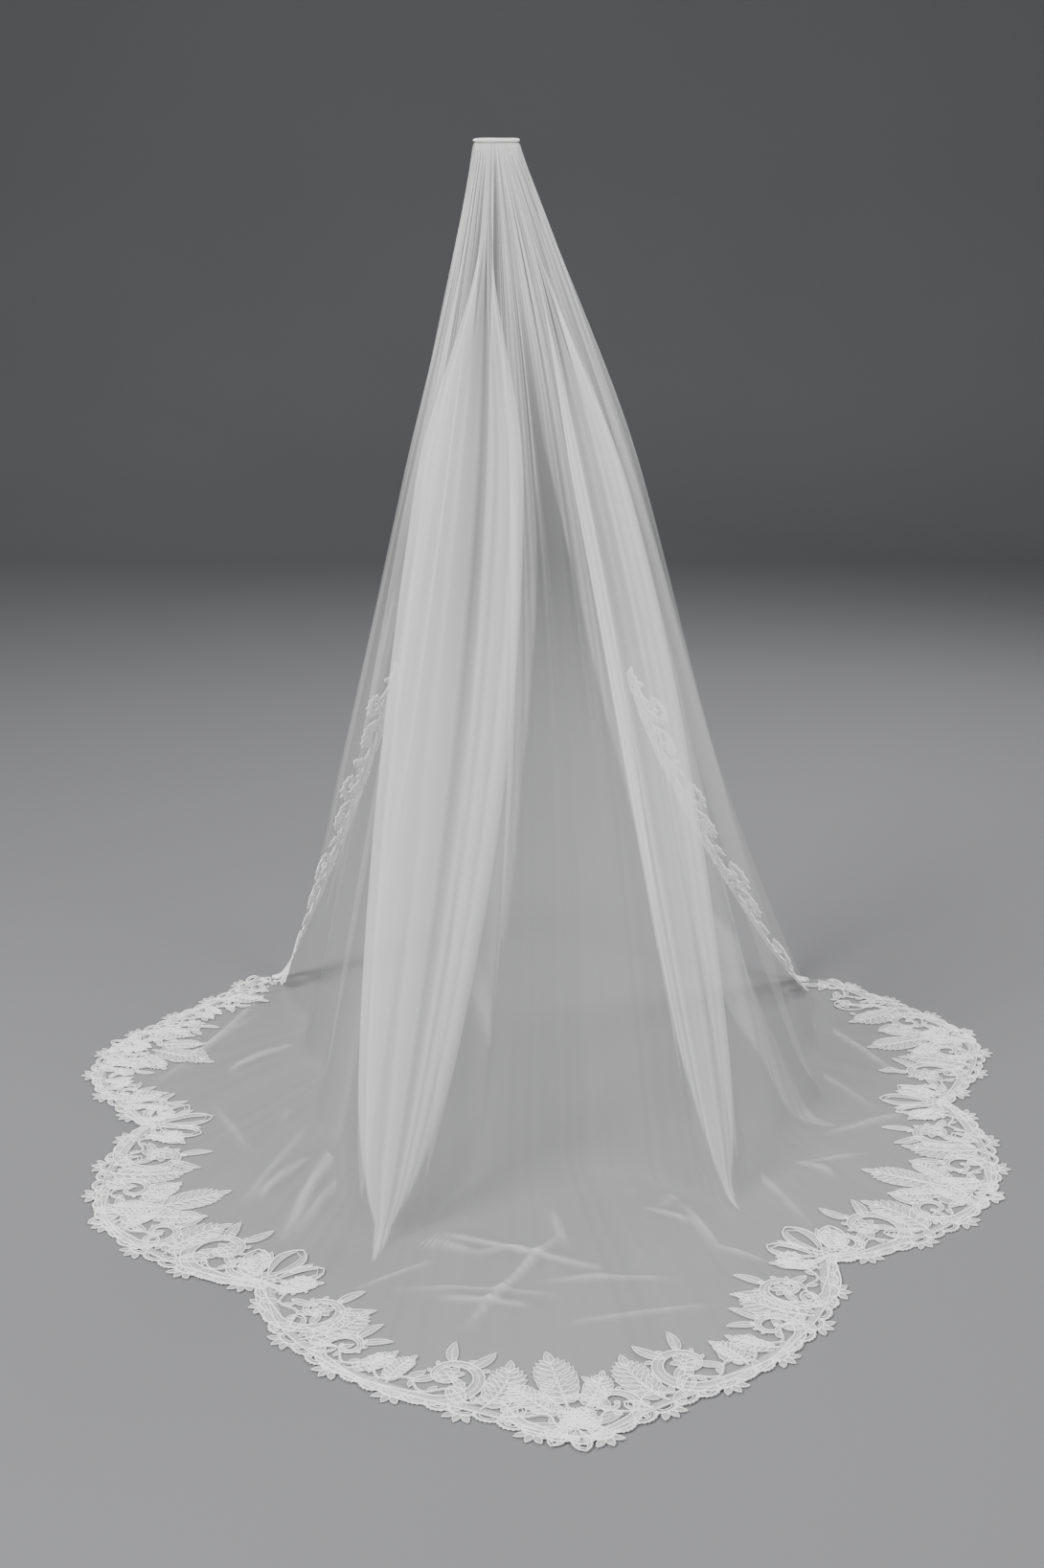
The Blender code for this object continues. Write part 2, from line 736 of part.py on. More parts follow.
def build():
    for obj in list(bpy.data.objects):
        bpy.data.objects.remove(obj)
    collection = bpy.data.collections.new("bridal_veil")
    bpy.context.scene.collection.children.link(collection)
    tulle = make_material("tulle", TULLE_COLOUR, 0.75)
    lace = make_material("lace", LACE_COLOUR, 0.65)
    binding = make_material("binding", BAND_COLOUR, 0.55)
    plastic = make_material("comb", COMB_COLOUR, 0.35)

    names, bearings = columns()
    rows = hanging_grid(bearings)

    # One sheet from the gathered edge to the hem, cut into stretches a seam apart.
    sheet = rows + train_grid(bearings, rows[-1])[1:]
    upper, lower = wall_grids(sheet, WALL)
    foot = len(rows) - 1
    order = list(dict.fromkeys(names))
    for index, name in enumerate(order):
        first = names.index(name)
        last = len(names) - 1 if index == len(order) - 1 else names.index(order[index + 1])
        verts, faces = wall_mesh(cut_grid(upper, 0, foot, first, last), cut_grid(lower, 0, foot, first, last))
        add_object(name, verts, faces, tulle, collection)
    verts, faces = wall_mesh(cut_grid(upper, foot, len(sheet) - 1, 0, len(names) - 1),
                             cut_grid(lower, foot, len(sheet) - 1, 0, len(names) - 1))
    add_object("tulle_train", verts, faces, tulle, collection)

    # Lace round the hem, lying on the train.
    flat, tris = flat_union([face for face in hem_lace_faces() if on_train(face)])
    tris = largest_region(flat, tris)
    flat, tris = split_pinches(flat, tris)
    low = FLOOR + WALL + SEAM
    verts, faces = plate_mesh(flat, tris, lambda p: Vector((p.x, p.y, low)),
                              lambda p: Vector((p.x, p.y, low + LACE_THICK)))
    add_object("lace_hem", verts, faces, lace, collection)

    # Lace up the two free side edges, on their outer face.
    for name, edge_first, length, width in SIDE_LACES:
        strip = side_strip(upper, lower, foot - 2, edge_first)
        faces = side_lace_faces(length, width)
        faces = [[Vector((p.x + SIDE_START, p.y + SIDE_INSET)) for p in face] for face in faces]
        flat, tris = flat_union(faces, strip)
        tris = largest_region(flat, tris)
        flat, tris = split_pinches(flat, tris)
        verts, faces = plate_mesh(flat, tris, lambda p: strip_place(strip, p, SEAM),
                                  lambda p: strip_place(strip, p, SEAM + LACE_THICK))
        add_object(name, verts, faces, lace, collection)

    # Bound edge over the gathers.
    bpy.ops.mesh.primitive_cube_add(size=1.0, location=(0.0, 0.003, 0.0))
    band = bpy.context.object
    band.name = "gather_band"
    band.data.name = "gather_band"
    band.scale = (BAND_WIDTH, BAND_DEPTH, BAND_HEIGHT)
    bpy.ops.object.transform_apply(location=True, rotation=False, scale=True)
    bevel = band.modifiers.new("round", "BEVEL")
    bevel.width = 0.003
    bevel.segments = 3
    band.data.materials.append(binding)
    for old in list(band.users_collection):
        old.objects.unlink(band)
    collection.objects.link(band)

    # Comb behind the gathers, its teeth down into the hair.
    outline = comb_outline()
    flat, _edges, tris, _ov, _oe, _of = delaunay_2d_cdt(outline, [], [list(range(len(outline)))], 1, 1.0e-6)
    top = -0.5 * BAND_HEIGHT - SEAM
    back = 0.0055
    verts, faces = plate_mesh(flat, tris, lambda p: Vector((p.x, back, top + p.y)),
                              lambda p: Vector((p.x, back + COMB_THICK, top + p.y)))
    add_object("comb", verts, faces, plastic, collection)


build()
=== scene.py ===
"""Looks of a bridal veil: sheer gathered tulle on a comb, its train edged with corded scroll lace."""
import math

import bmesh
import bpy
import numpy as np
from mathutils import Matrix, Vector


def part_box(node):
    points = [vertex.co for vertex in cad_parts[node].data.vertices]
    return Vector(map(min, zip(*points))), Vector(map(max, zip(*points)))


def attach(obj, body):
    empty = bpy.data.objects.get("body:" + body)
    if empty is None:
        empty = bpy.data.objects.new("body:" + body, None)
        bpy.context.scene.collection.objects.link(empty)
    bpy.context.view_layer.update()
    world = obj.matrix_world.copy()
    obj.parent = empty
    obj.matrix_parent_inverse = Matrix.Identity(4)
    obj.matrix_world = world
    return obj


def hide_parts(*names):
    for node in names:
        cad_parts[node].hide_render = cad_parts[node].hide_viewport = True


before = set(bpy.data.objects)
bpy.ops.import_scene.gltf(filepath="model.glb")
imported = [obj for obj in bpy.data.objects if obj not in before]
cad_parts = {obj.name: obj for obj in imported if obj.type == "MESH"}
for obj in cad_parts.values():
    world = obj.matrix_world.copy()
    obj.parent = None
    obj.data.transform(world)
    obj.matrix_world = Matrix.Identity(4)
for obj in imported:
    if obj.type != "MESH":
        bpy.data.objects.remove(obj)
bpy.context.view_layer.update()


# ---- Comb ------------------------------------------------------------------------------------
# A clear plastic hair comb, moulded in one piece, with tapering teeth that grip the hair.
# The gathered top of the veil is sewn over its spine with a few turns of thread.

class Value:
    """A shader output. Arithmetic on it adds Math nodes."""

    def __init__(self, finish, socket):
        self.finish = finish
        self.socket = socket

    def math(self, operation, *values, **settings):
        chosen = {"operation": operation, **settings}
        return self.finish.node("ShaderNodeMath", chosen, dict(enumerate(values)))

    def __add__(self, other):
        return self.math("ADD", self, other)

    def __radd__(self, other):
        return self.math("ADD", other, self)

    def __sub__(self, other):
        return self.math("SUBTRACT", self, other)

    def __rsub__(self, other):
        return self.math("SUBTRACT", other, self)

    def __mul__(self, other):
        return self.math("MULTIPLY", self, other)

    def __rmul__(self, other):
        return self.math("MULTIPLY", other, self)

    def __abs__(self):
        return self.math("ABSOLUTE", self)

    def sine(self):
        return self.math("SINE", self)

    def clamped(self):
        return self.math("ADD", self, 0.0, use_clamp=True)


class Finish:
    """A node material round one Principled shader."""

    def __init__(self, name, **constants):
        self.material = bpy.data.materials.new(name)
        self.material.use_nodes = True
        self.tree = self.material.node_tree
        self.shader = self.tree.nodes["Principled BSDF"]
        for key, value in constants.items():
            self.shader.inputs[key.replace("_", " ")].default_value = value

    def node(self, kind, settings=None, inputs=None, output=0):
        made = self.tree.nodes.new(kind)
        for key, value in (settings or {}).items():
            setattr(made, key, value)
        for key, value in (inputs or {}).items():
            self.link(value, made.inputs[key])
        return Value(self, made.outputs[output])

    def link(self, value, socket):
        if isinstance(value, Value):
            self.tree.links.new(value.socket, socket)
        else:
            socket.default_value = value

    def feed(self, **values):
        for key, value in values.items():
            self.link(value, self.shader.inputs[key.replace("_", " ")])
        return self

    def place(self):
        return self.node("ShaderNodeTexCoord", output="Object")

    def cloth(self, name):
        return self.node("ShaderNodeUVMap", {"uv_map": name})

    def attribute(self, name):
        return self.node("ShaderNodeAttribute", {"attribute_name": name}, output="Fac")

    def split(self, vector):
        parts = self.node("ShaderNodeSeparateXYZ", None, {0: vector})
        outputs = parts.socket.node.outputs
        return [Value(self, outputs[i]) for i in range(3)]

    def join(self, x, y, z=0.0):
        return self.node("ShaderNodeCombineXYZ", None, {0: x, 1: y, 2: z})

    def cloud(self, vector, scale, detail=2.0, roughness=0.5):
        return self.node("ShaderNodeTexNoise", {"noise_dimensions": "3D"},
                         {"Vector": vector, "Scale": scale, "Detail": detail, "Roughness": roughness})

    def blend(self, amount, first, second):
        settings = {"data_type": "RGBA", "clamp_factor": True}
        made = self.node("ShaderNodeMix", settings, {0: amount, 6: (*first, 1.0), 7: (*second, 1.0)})
        return Value(self, made.socket.node.outputs[2])

    def bump(self, height, strength, distance):
        return self.node("ShaderNodeBump", None,
                         {"Strength": strength, "Distance": distance, "Height": height})


COMB_COLOURS = ((0.62, 0.61, 0.59), (0.74, 0.73, 0.71))
COMB_CLOUD = 60.0

comb_finish = Finish("clear_comb_plastic", Roughness=0.22, IOR=1.49, Coat_Weight=0.35, Coat_Roughness=0.12)
haze = comb_finish.cloud(comb_finish.place(), COMB_CLOUD)
comb_finish.feed(
    Base_Color=comb_finish.blend(haze, *COMB_COLOURS),
    Roughness=0.16 + 0.16 * haze,
    Normal=comb_finish.bump(haze, 0.10, 0.0004),
)
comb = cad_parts["comb"]
comb.data.materials.clear()
comb.data.materials.append(comb_finish.material)


# ---- Thread that ties the comb ---------------------------------------------------------------
# A fine white thread goes over the comb's spine between the teeth and up into the binding.
# Each turn is a short slanting loop, pulled tight, a few millimetres from the next.

class Rig:
    """A geometry node tree built step by step, with named inputs."""

    def __init__(self, name):
        self.tree = bpy.data.node_groups.new(name, "GeometryNodeTree")
        self.tree.interface.new_socket("Geometry", in_out="INPUT", socket_type="NodeSocketGeometry")
        self.tree.interface.new_socket("Geometry", in_out="OUTPUT", socket_type="NodeSocketGeometry")
        self.names = {}
        self.start = None

    def size(self, name, kind="NodeSocketFloat"):
        self.names[name] = self.tree.interface.new_socket(name, in_out="INPUT", socket_type=kind).identifier

    def open(self):
        self.start = self.tree.nodes.new("NodeGroupInput")
        return self.start.outputs["Geometry"]

    def given(self, name):
        return self.start.outputs[name]

    def node(self, kind, settings=None, inputs=None, output=0):
        made = self.tree.nodes.new(kind)
        for key, value in (settings or {}).items():
            setattr(made, key, value)
        for key, value in (inputs or {}).items():
            if isinstance(value, bpy.types.NodeSocket):
                self.tree.links.new(value, made.inputs[key])
            else:
                made.inputs[key].default_value = value
        return made.outputs[output]

    def close(self, geometry, material):
        whole = self.node("GeometryNodeRealizeInstances", None, {0: geometry})
        dressed = self.node("GeometryNodeSetMaterial", None, {0: whole, "Material": material})
        end = self.tree.nodes.new("NodeGroupOutput")
        self.tree.links.new(dressed, end.inputs[0])

    def run(self, name, mesh, **sizes):
        """The tree's result on a mesh, as a plain mesh object."""
        holder = bpy.data.objects.new(name + "_lines", mesh)
        bpy.context.scene.collection.objects.link(holder)
        modifier = holder.modifiers.new("grow", "NODES")
        modifier.node_group = self.tree
        for key, value in sizes.items():
            modifier[self.names[key]] = value
        view = bpy.context.evaluated_depsgraph_get()
        made = bpy.data.meshes.new_from_object(holder.evaluated_get(view))
        made.name = name
        bpy.data.objects.remove(holder)
        obj = bpy.data.objects.new(name, made)
        bpy.context.scene.collection.objects.link(obj)
        return obj


def line_mesh(name, paths, radii=None):
    """Open or closed lines as a mesh of edges, with a radius at each point."""
    mesh = bpy.data.meshes.new(name)
    points = []
    edges = []
    for path, loop in paths:
        first = len(points)
        points += [tuple(p) for p in path]
        edges += [(first + i, first + i + 1) for i in range(len(path) - 1)]
        if loop:
            edges.append((len(points) - 1, first))
    mesh.from_pydata(points, edges, [])
    if radii is not None:
        thick = mesh.attributes.new("radius_here", "FLOAT", "POINT")
        thick.data.foreach_set("value", [r for line in radii for r in line])
    return mesh


def cord_rig(name, material):
    """Lines become round cords, as thick as their points say."""
    rig = Rig(name)
    rig.size("Thickness")
    rig.size("Sides", "NodeSocketInt")
    lines = rig.node("GeometryNodeMeshToCurve", None, {"Mesh": rig.open()})
    here = rig.node("GeometryNodeInputNamedAttribute", {"data_type": "FLOAT"}, {"Name": "radius_here"})
    scaled = rig.node("ShaderNodeMath", {"operation": "MULTIPLY"}, {0: here, 1: rig.given("Thickness")})
    section = rig.node("GeometryNodeCurvePrimitiveCircle", {"mode": "RADIUS"},
                       {"Resolution": rig.given("Sides"), "Radius": 1.0})
    tube = rig.node("GeometryNodeCurveToMesh", None,
                    {"Curve": lines, "Profile Curve": section, "Scale": scaled, "Fill Caps": True})
    tube = rig.node("GeometryNodeSetShadeSmooth", None, {0: tube})
    rig.close(tube, material)
    return rig


THREAD_COLOURS = ((0.80, 0.80, 0.78), (0.90, 0.90, 0.88))
THREAD_TURNS = 14
THREAD_RADIUS = 0.00035
THREAD_SIDES = 6
TURN_POINTS = 12
TURN_DEPTH = 0.0019
TURN_HEIGHT = 0.0052
TURN_SLANT = 0.0009
PLY_RATE = 5200.0
COMB_LOW, COMB_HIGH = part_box("comb")
SPINE_DEPTH = 0.009

thread_finish = Finish("white_thread", Roughness=0.55, Sheen_Weight=0.3)
twist = thread_finish.split(thread_finish.place())
ply = ((twist[0] * PLY_RATE + twist[2] * PLY_RATE).sine() * 0.5 + 0.5).clamped()
thread_finish.feed(Base_Color=thread_finish.blend(ply, *THREAD_COLOURS),
                   Normal=thread_finish.bump(ply, 0.35, 0.0002))
turns = []
for i in range(THREAD_TURNS):
    x = COMB_LOW.x + (COMB_HIGH.x - COMB_LOW.x) * (i + 0.5) / THREAD_TURNS
    loop = []
    for k in range(TURN_POINTS):
        angle = 2.0 * math.pi * k / TURN_POINTS
        y = 0.5 * (COMB_LOW.y + COMB_HIGH.y) + TURN_DEPTH * math.cos(angle)
        z = COMB_HIGH.z - 0.5 * SPINE_DEPTH + TURN_HEIGHT * math.sin(angle)
        loop.append((x + TURN_SLANT * math.sin(angle), y, z))
    turns.append((loop, True))
thread_mesh = line_mesh("comb_thread", turns, [[1.0] * TURN_POINTS for _ in turns])
comb_thread = cord_rig("thread_turns", thread_finish.material).run(
    "comb_thread", thread_mesh, Thickness=THREAD_RADIUS, Sides=THREAD_SIDES)
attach(comb_thread, "root")


# ---- Binding over the gathers ----------------------------------------------------------------
# A narrow satin ribbon folded over the raw gathered edge and stitched through, so the tulle's
# pleats press little hollows into it. It is what shows as the bright edge at the very top.

BINDING_PUCKERS = 31.0
BINDING_STEPS = 124
BINDING_SECTION = 20
BINDING_COLOURS = ((0.80, 0.79, 0.77), (0.91, 0.90, 0.88))

low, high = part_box("gather_band")
middle = (low + high) * 0.5
half = (high - low) * 0.5
verts = []
faces = []
for i in range(BINDING_STEPS + 1):
    k = i / BINDING_STEPS * 2.0 - 1.0
    close = (1.0 - abs(k) ** 9) ** 0.5
    pucker = 1.0 - 0.05 - 0.05 * math.sin(BINDING_PUCKERS * math.pi * k + 0.7 * math.sin(9.0 * k))
    for j in range(BINDING_SECTION):
        angle = 2.0 * math.pi * j / BINDING_SECTION
        c, s = math.cos(angle), math.sin(angle)
        y = math.copysign(abs(c) ** 0.75, c) * half.y * close * pucker
        z = math.copysign(abs(s) ** 0.75, s) * half.z * close * (1.0 - 0.04 * math.sin(5.0 * k))
        verts.append((middle.x + half.x * k * 0.995, middle.y + y, middle.z + z))
for i in range(BINDING_STEPS):
    for j in range(BINDING_SECTION):
        a = i * BINDING_SECTION + j
        b = i * BINDING_SECTION + (j + 1) % BINDING_SECTION
        faces.append((a, b, b + BINDING_SECTION, a + BINDING_SECTION))
mesh = bpy.data.meshes.new("binding")
mesh.from_pydata(verts, [], faces)
work = bmesh.new()
work.from_mesh(mesh)
bmesh.ops.remove_doubles(work, verts=work.verts[:], dist=0.00002)
bmesh.ops.recalc_face_normals(work, faces=work.faces[:])
for face in work.faces:
    face.smooth = True
work.to_mesh(mesh)
work.free()
binding = bpy.data.objects.new("binding", mesh)
bpy.context.scene.collection.objects.link(binding)

satin = Finish("ribbon_satin", Roughness=0.34, Sheen_Weight=0.4, Sheen_Roughness=0.35)
x, y, z = satin.split(satin.place())
floats = satin.cloud(satin.join(x * 90.0, y * 1400.0, z * 1400.0), 1.0, 3.0)
warp = ((x * 9000.0).sine() * 0.5 + 0.5).clamped()
satin.feed(Base_Color=satin.blend(floats, *BINDING_COLOURS),
           Roughness=0.28 + 0.16 * floats,
           Normal=satin.bump(floats * 0.8 + warp * 0.2, 0.25, 0.0003))
mesh.materials.append(satin.material)
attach(binding, "root")
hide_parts("gather_band")


# ---- Tulle -----------------------------------------------------------------------------------
# One piece of soft bridal net, gathered along its top edge, that falls free from the comb and
# spreads on the floor as the train. It is seen as one continuous sheet: fine gathers near the
# comb, two deep flutes and softer folds below, and low ridges where the train lies loose.

COMB_HEIGHT = 1.75
FLOOR = -COMB_HEIGHT
WALL = 0.0012
SEAM = 0.0003
BAND_HEIGHT = 0.009
GATHER_WIDTH = 0.088
GATHER_COLUMNS = 6
GATHER_SHARE = 0.085
GATHER_FADE = 0.75
FLARE = 0.022
CUT_WIDTH = 2.75
NET_PITCH = 0.0019
NET_COVER = 0.105
TULLE_COLOURS = ((0.86, 0.86, 0.85), (0.94, 0.94, 0.93))
FLUTE_TIPS = (1.045, 1.03)
FLUTE_LAYERS = 3.0
CREST_LAYERS = 2.6
FEWEST_LAYERS, MOST_LAYERS = 0.5, 10.0
STREAK_COUNTS = np.linspace(14.0, 190.0, 44)
STREAK_SEED = 11
SMOOTHING = 20
TRAIN_START = 1.06

RAYS = np.array((
    # bearing, reach, sag, billow, sway
    (184.4, 0.470, 0.030, 0.000, 0.000),
    (200.0, 0.480, 0.030, 0.000, 0.000),
    (217.0, 0.495, 0.030, 0.000, 0.005),
    (238.0, 0.640, 0.030, 0.000, 0.010),
    (252.0, 0.900, 0.020, 0.000, 0.020),
    (262.0, 1.250, 0.000, 0.000, 0.030),
    (268.5, 1.020, 0.000, 0.000, 0.034),
    (277.0, 0.960, 0.000, 0.000, 0.036),
    (284.0, 1.020, 0.000, 0.010, 0.040),
    (290.0, 1.160, 0.000, 0.010, 0.042),
    (297.0, 1.000, 0.000, 0.020, 0.034),
    (307.6, 0.960, 0.010, 0.020, 0.020),
    (319.0, 0.800, 0.015, 0.030, 0.010),
    (337.0, 0.715, 0.015, 0.030, 0.000),
    (355.4, 0.640, 0.015, 0.030, 0.000),
))
FLUTES = (
    # bearing, spread, half_width, depth, starts, ends
    (262.0, 2.4, 0.096, 0.050, 0.05, 0.985),
    (290.0, 2.0, 0.050, 0.040, 0.07, 0.985),
)
CURLS = (
    # bearing, spread, inward, back
    (184.4, 16.0, 0.085, 0.060),
    (355.4, 16.0, 0.120, 0.070),
)
COLUMNS = (
    # from_bearing, to_bearing, columns
    (184.4, 200.0, 6), (200.0, 231.8, 10), (231.8, 252.0, 8), (252.0, 259.4, 4), (259.4, 264.6, 14),
    (264.6, 268.5, 2), (268.5, 284.0, 9), (284.0, 287.8, 2), (287.8, 292.2, 12), (292.2, 297.0, 3),
    (297.0, 307.6, 5), (307.6, 320.0, 5), (320.0, 340.0, 7), (340.0, 355.4, 6),
)
PLEATS = (
    # Finer pleats between the solid's gathers: pitch in columns, size, where it ends, phase, drift
    (2.3, 0.30, 0.62, 0.4, 0.5),
    (1.37, 0.26, 0.42, 2.1, 0.8),
    (3.7, 0.34, 0.80, 1.3, 0.3),
    (0.81, 0.20, 0.26, 0.2, 1.1),
)
FOLDS = (
    # Softer folds of the hanging sheet: bearing above, bearing below, from, to, rise, half_width
    (191.0, 194.0, 0.10, 0.80, 0.020, 3.2),
    (206.0, 209.0, 0.08, 0.97, 0.022, 3.0),
    (218.0, 221.0, 0.12, 0.88, 0.024, 2.6),
    (231.0, 233.0, 0.05, 0.95, 0.022, 2.2),
    (241.0, 243.0, 0.10, 0.98, 0.020, 1.6),
    (249.0, 248.0, 0.06, 0.70, 0.016, 1.3),
    (255.0, 254.0, 0.08, 0.94, 0.014, 0.9),
    (268.6, 268.0, 0.16, 0.97, 0.040, 0.75),
    (272.6, 271.6, 0.10, 0.62, 0.012, 0.7),
    (277.5, 278.0, 0.05, 0.50, 0.014, 0.9),
    (282.5, 283.5, 0.10, 0.75, 0.012, 0.8),
    (299.0, 301.5, 0.10, 1.00, 0.034, 1.5),
    (309.0, 311.0, 0.06, 0.90, 0.022, 1.8),
    (320.0, 322.0, 0.10, 0.98, 0.026, 2.3),
    (332.0, 333.0, 0.06, 0.80, 0.022, 2.6),
    (344.0, 345.0, 0.10, 0.92, 0.020, 2.6),
)
RIDGES = (
    # Floor ridges: from_bearing, from_radius, to_bearing, to_radius, height, width
    (212.0, 0.56, 213.0, 0.74, 0.012, 0.030),
    (226.0, 0.60, 228.0, 0.84, 0.010, 0.030),
    (243.0, 0.84, 244.5, 1.14, 0.014, 0.032),
    (251.0, 1.00, 250.0, 1.20, 0.010, 0.026),
    (266.0, 1.22, 277.0, 1.34, 0.009, 0.028),
    (263.0, 1.40, 272.0, 1.44, 0.008, 0.026),
    (283.0, 1.16, 288.0, 1.28, 0.009, 0.028),
    (299.0, 1.10, 301.0, 1.22, 0.012, 0.028),
    (315.0, 0.90, 315.5, 1.08, 0.012, 0.030),
    (333.0, 0.76, 332.0, 0.90, 0.012, 0.030),
)
WRINKLES = (
    # Narrow creases between the ridges: from_x, from_y, to_x, to_y, height, width
    (-0.26, -0.74, -0.33, -1.22, 0.012, 0.012),
    (-0.25, -0.97, -0.31, -1.20, 0.007, 0.009),
    (-0.34, -0.81, -0.41, -1.10, 0.006, 0.009),
    (-0.50, -0.16, -0.60, -0.54, 0.009, 0.011),
    (-0.50, -0.26, -0.65, -0.62, 0.006, 0.009),
    (-0.52, -0.72, -0.43, -0.90, 0.005, 0.010),
    (-0.16, -1.21, -0.02, -1.28, 0.008, 0.009),
    (-0.02, -1.28, 0.06, -1.27, 0.006, 0.009),
    (0.11, -1.22, -0.03, -1.49, 0.010, 0.009),
    (0.10, -1.13, 0.12, -1.25, 0.007, 0.009),
    (-0.20, -1.38, -0.09, -1.30, 0.007, 0.008),
    (-0.14, -1.38, 0.10, -1.40, 0.006, 0.009),
    (0.09, -1.36, 0.28, -1.35, 0.007, 0.009),
    (0.12, -1.48, 0.33, -1.43, 0.006, 0.010),
    (0.32, -1.11, 0.36, -1.25, 0.009, 0.009),
    (0.36, -1.25, 0.43, -1.30, 0.008, 0.009),
    (0.23, -1.06, 0.34, -0.98, 0.006, 0.008),
    (0.28, -1.12, 0.33, -1.03, 0.007, 0.008),
    (0.42, -0.88, 0.52, -1.18, 0.007, 0.009),
    (0.54, -0.96, 0.65, -0.92, 0.006, 0.009),
    (0.60, -0.83, 0.77, -0.75, 0.009, 0.011),
    (0.66, -0.28, 0.78, -0.59, 0.009, 0.010),
    (0.58, -0.46, 0.70, -0.72, 0.006, 0.010),
)
PANELS = (
    # Where cloth lies folded beside the flutes: extra layers, then rows of t, left and right bearing
    (2.0, ((0.06, 279.0, 289.0), (0.33, 280.4, 289.0), (0.44, 283.2, 289.0), (0.66, 286.8, 289.0),
           (0.80, 288.6, 289.0))),
    (1.0, ((0.06, 291.0, 304.0), (0.36, 291.0, 299.6), (0.58, 291.0, 296.4), (0.75, 291.0, 291.6))),
    (2.2, ((0.06, 266.0, 279.0), (0.36, 269.0, 277.2), (0.50, 268.9, 274.4), (0.64, 268.6, 271.8),
           (0.80, 269.6, 269.9))),
    (1.6, ((0.74, 264.6, 265.6), (0.82, 266.0, 267.2), (0.89, 268.4, 268.6))),
    (1.6, ((0.70, 292.0, 293.0), (0.75, 292.0, 296.0), (0.85, 297.0, 303.6), (0.93, 301.0, 305.6),
           (1.06, 307.6, 308.0))),
    (1.2, ((0.06, 232.0, 240.0), (0.40, 224.0, 229.0), (0.70, 217.0, 220.0), (0.90, 213.0, 213.6))),
)
SCALLOPS = (
    # start_x, start_y, end_x, end_y, depth, fullness, skew, foot, tip
    (-0.545, -0.042, -0.638, -0.811, 0.182, 1.00, 1.50, "start", 0.0),
    (-0.638, -0.811, -0.358, -1.378, 0.160, 0.75, 1.00, "none", 0.0),
    (-0.358, -1.378, 0.544, -1.300, 0.390, 0.50, 1.00, "none", 0.055),
    (0.544, -1.300, 0.848, -0.712, 0.165, 0.75, 1.00, "none", 0.0),
    (0.848, -0.712, 0.735, -0.059, 0.168, 1.00, 1.25, "end", 0.0),
)
HEM_SAMPLES = 48
TIP_WIDTH = 0.10
TULLE_INSET = 0.016
LACE_BAND = 0.240
SHEET_COLUMNS = 414
HANG_ROWS = 104
TRAIN_ROWS = 125


def ease(x):
    x = np.clip(x, 0.0, 1.0)
    return x * x * (3.0 - 2.0 * x)


def hem_points():
    """Points along the hem and where each scallop starts."""
    points = []
    starts = []
    for x0, y0, x1, y1, depth, fullness, skew, foot, tip in SCALLOPS:
        starts.append(len(points))
        along = np.array((x1 - x0, y1 - y0))
        length = float(np.hypot(*along))
        out = np.array((along[1], -along[0])) / length
        for i in range(HEM_SAMPLES):
            u = i / HEM_SAMPLES
            v = u ** skew if foot == "start" else 1.0 - (1.0 - u) ** skew if foot == "end" else u
            bulge = depth * math.sin(math.pi * v) ** fullness
            bulge += tip * math.exp(-((u - 0.5) * length / TIP_WIDTH) ** 2)
            points.append(np.array((x0, y0)) + along * u + out * bulge)
    points.append(np.array(SCALLOPS[-1][2:4]))
    starts.append(len(points) - 1)
    return np.array(points), starts


HEM, HEM_STARTS = hem_points()
HEM_BEARINGS = np.degrees(np.arctan2(HEM[:, 1], HEM[:, 0])) % 360.0
HEM_RADII = np.hypot(HEM[:, 0], HEM[:, 1])


def swell(t, starts, ends):
    inside = (t > starts) & (t < ends)
    phase = np.clip((t - starts) / (ends - starts), 0.0, 1.0)
    return np.where(inside, ease((t - starts) / 0.30) * np.sin(np.pi * phase) ** 0.6, 0.0)


def plain_sheet(bearing, share, t):
    """The hanging sheet without small gathers, a grid of points: rows of t, columns of bearing."""
    at = np.clip(np.searchsorted(RAYS[:, 0], bearing, side="right") - 1, 0, len(RAYS) - 2)
    k = ease((bearing - RAYS[at, 0]) / (RAYS[at + 1, 0] - RAYS[at, 0]))[:, None]
    reach, sag, billow, sway = (RAYS[at, 1:] + (RAYS[at + 1, 1:] - RAYS[at, 1:]) * k).T
    angle = np.radians(bearing)
    out = np.stack((np.cos(angle), np.sin(angle)), -1)
    across = np.stack((-np.sin(angle), np.cos(angle)), -1)
    t = t[:, None]
    hang = np.minimum(t, 1.0)
    radius = reach * (t - sag * np.sin(np.pi * hang) + billow * np.sin(2.0 * np.pi * hang))
    top = np.stack(((share - 0.5) * GATHER_WIDTH, np.full_like(share, -0.002)), -1)
    flat = top * (1.0 - hang)[:, :, None] + out * radius[:, :, None]
    flat = flat + across * (sway * np.sin(np.pi * hang))[:, :, None]
    for centre, spread, half_width, depth, starts, ends in FLUTES:
        q = np.clip((bearing - centre) / spread, -1.0, 1.0)
        strength = swell(t, starts, ends)
        flat = flat + across * (half_width * np.sin(np.pi * q) * strength)[:, :, None]
        lifted = depth * np.maximum(0.5 + 0.5 * np.cos(np.pi * q), 0.0) ** 0.6
        flat = flat + out * (lifted * strength)[:, :, None]
    for edge, spread, inward, back in CURLS:
        near = np.clip(1.0 - np.abs(bearing - edge) / spread, 0.0, 1.0)
        pull = near * near * np.sin(np.pi * hang ** 1.3)
        side = inward if edge < 270.0 else -inward
        flat = flat + np.stack((side * pull, back * pull), -1)
    drop = FLARE * np.log1p(np.exp(np.minimum(COMB_HEIGHT * (1.0 - t), 0.9) / FLARE))
    drop = np.where(t < 0.5, COMB_HEIGHT * (1.0 - t), drop)
    z = np.broadcast_to(FLOOR + drop + 0.5 * WALL, flat.shape[:2])
    return np.concatenate((flat, z[:, :, None]), 2)


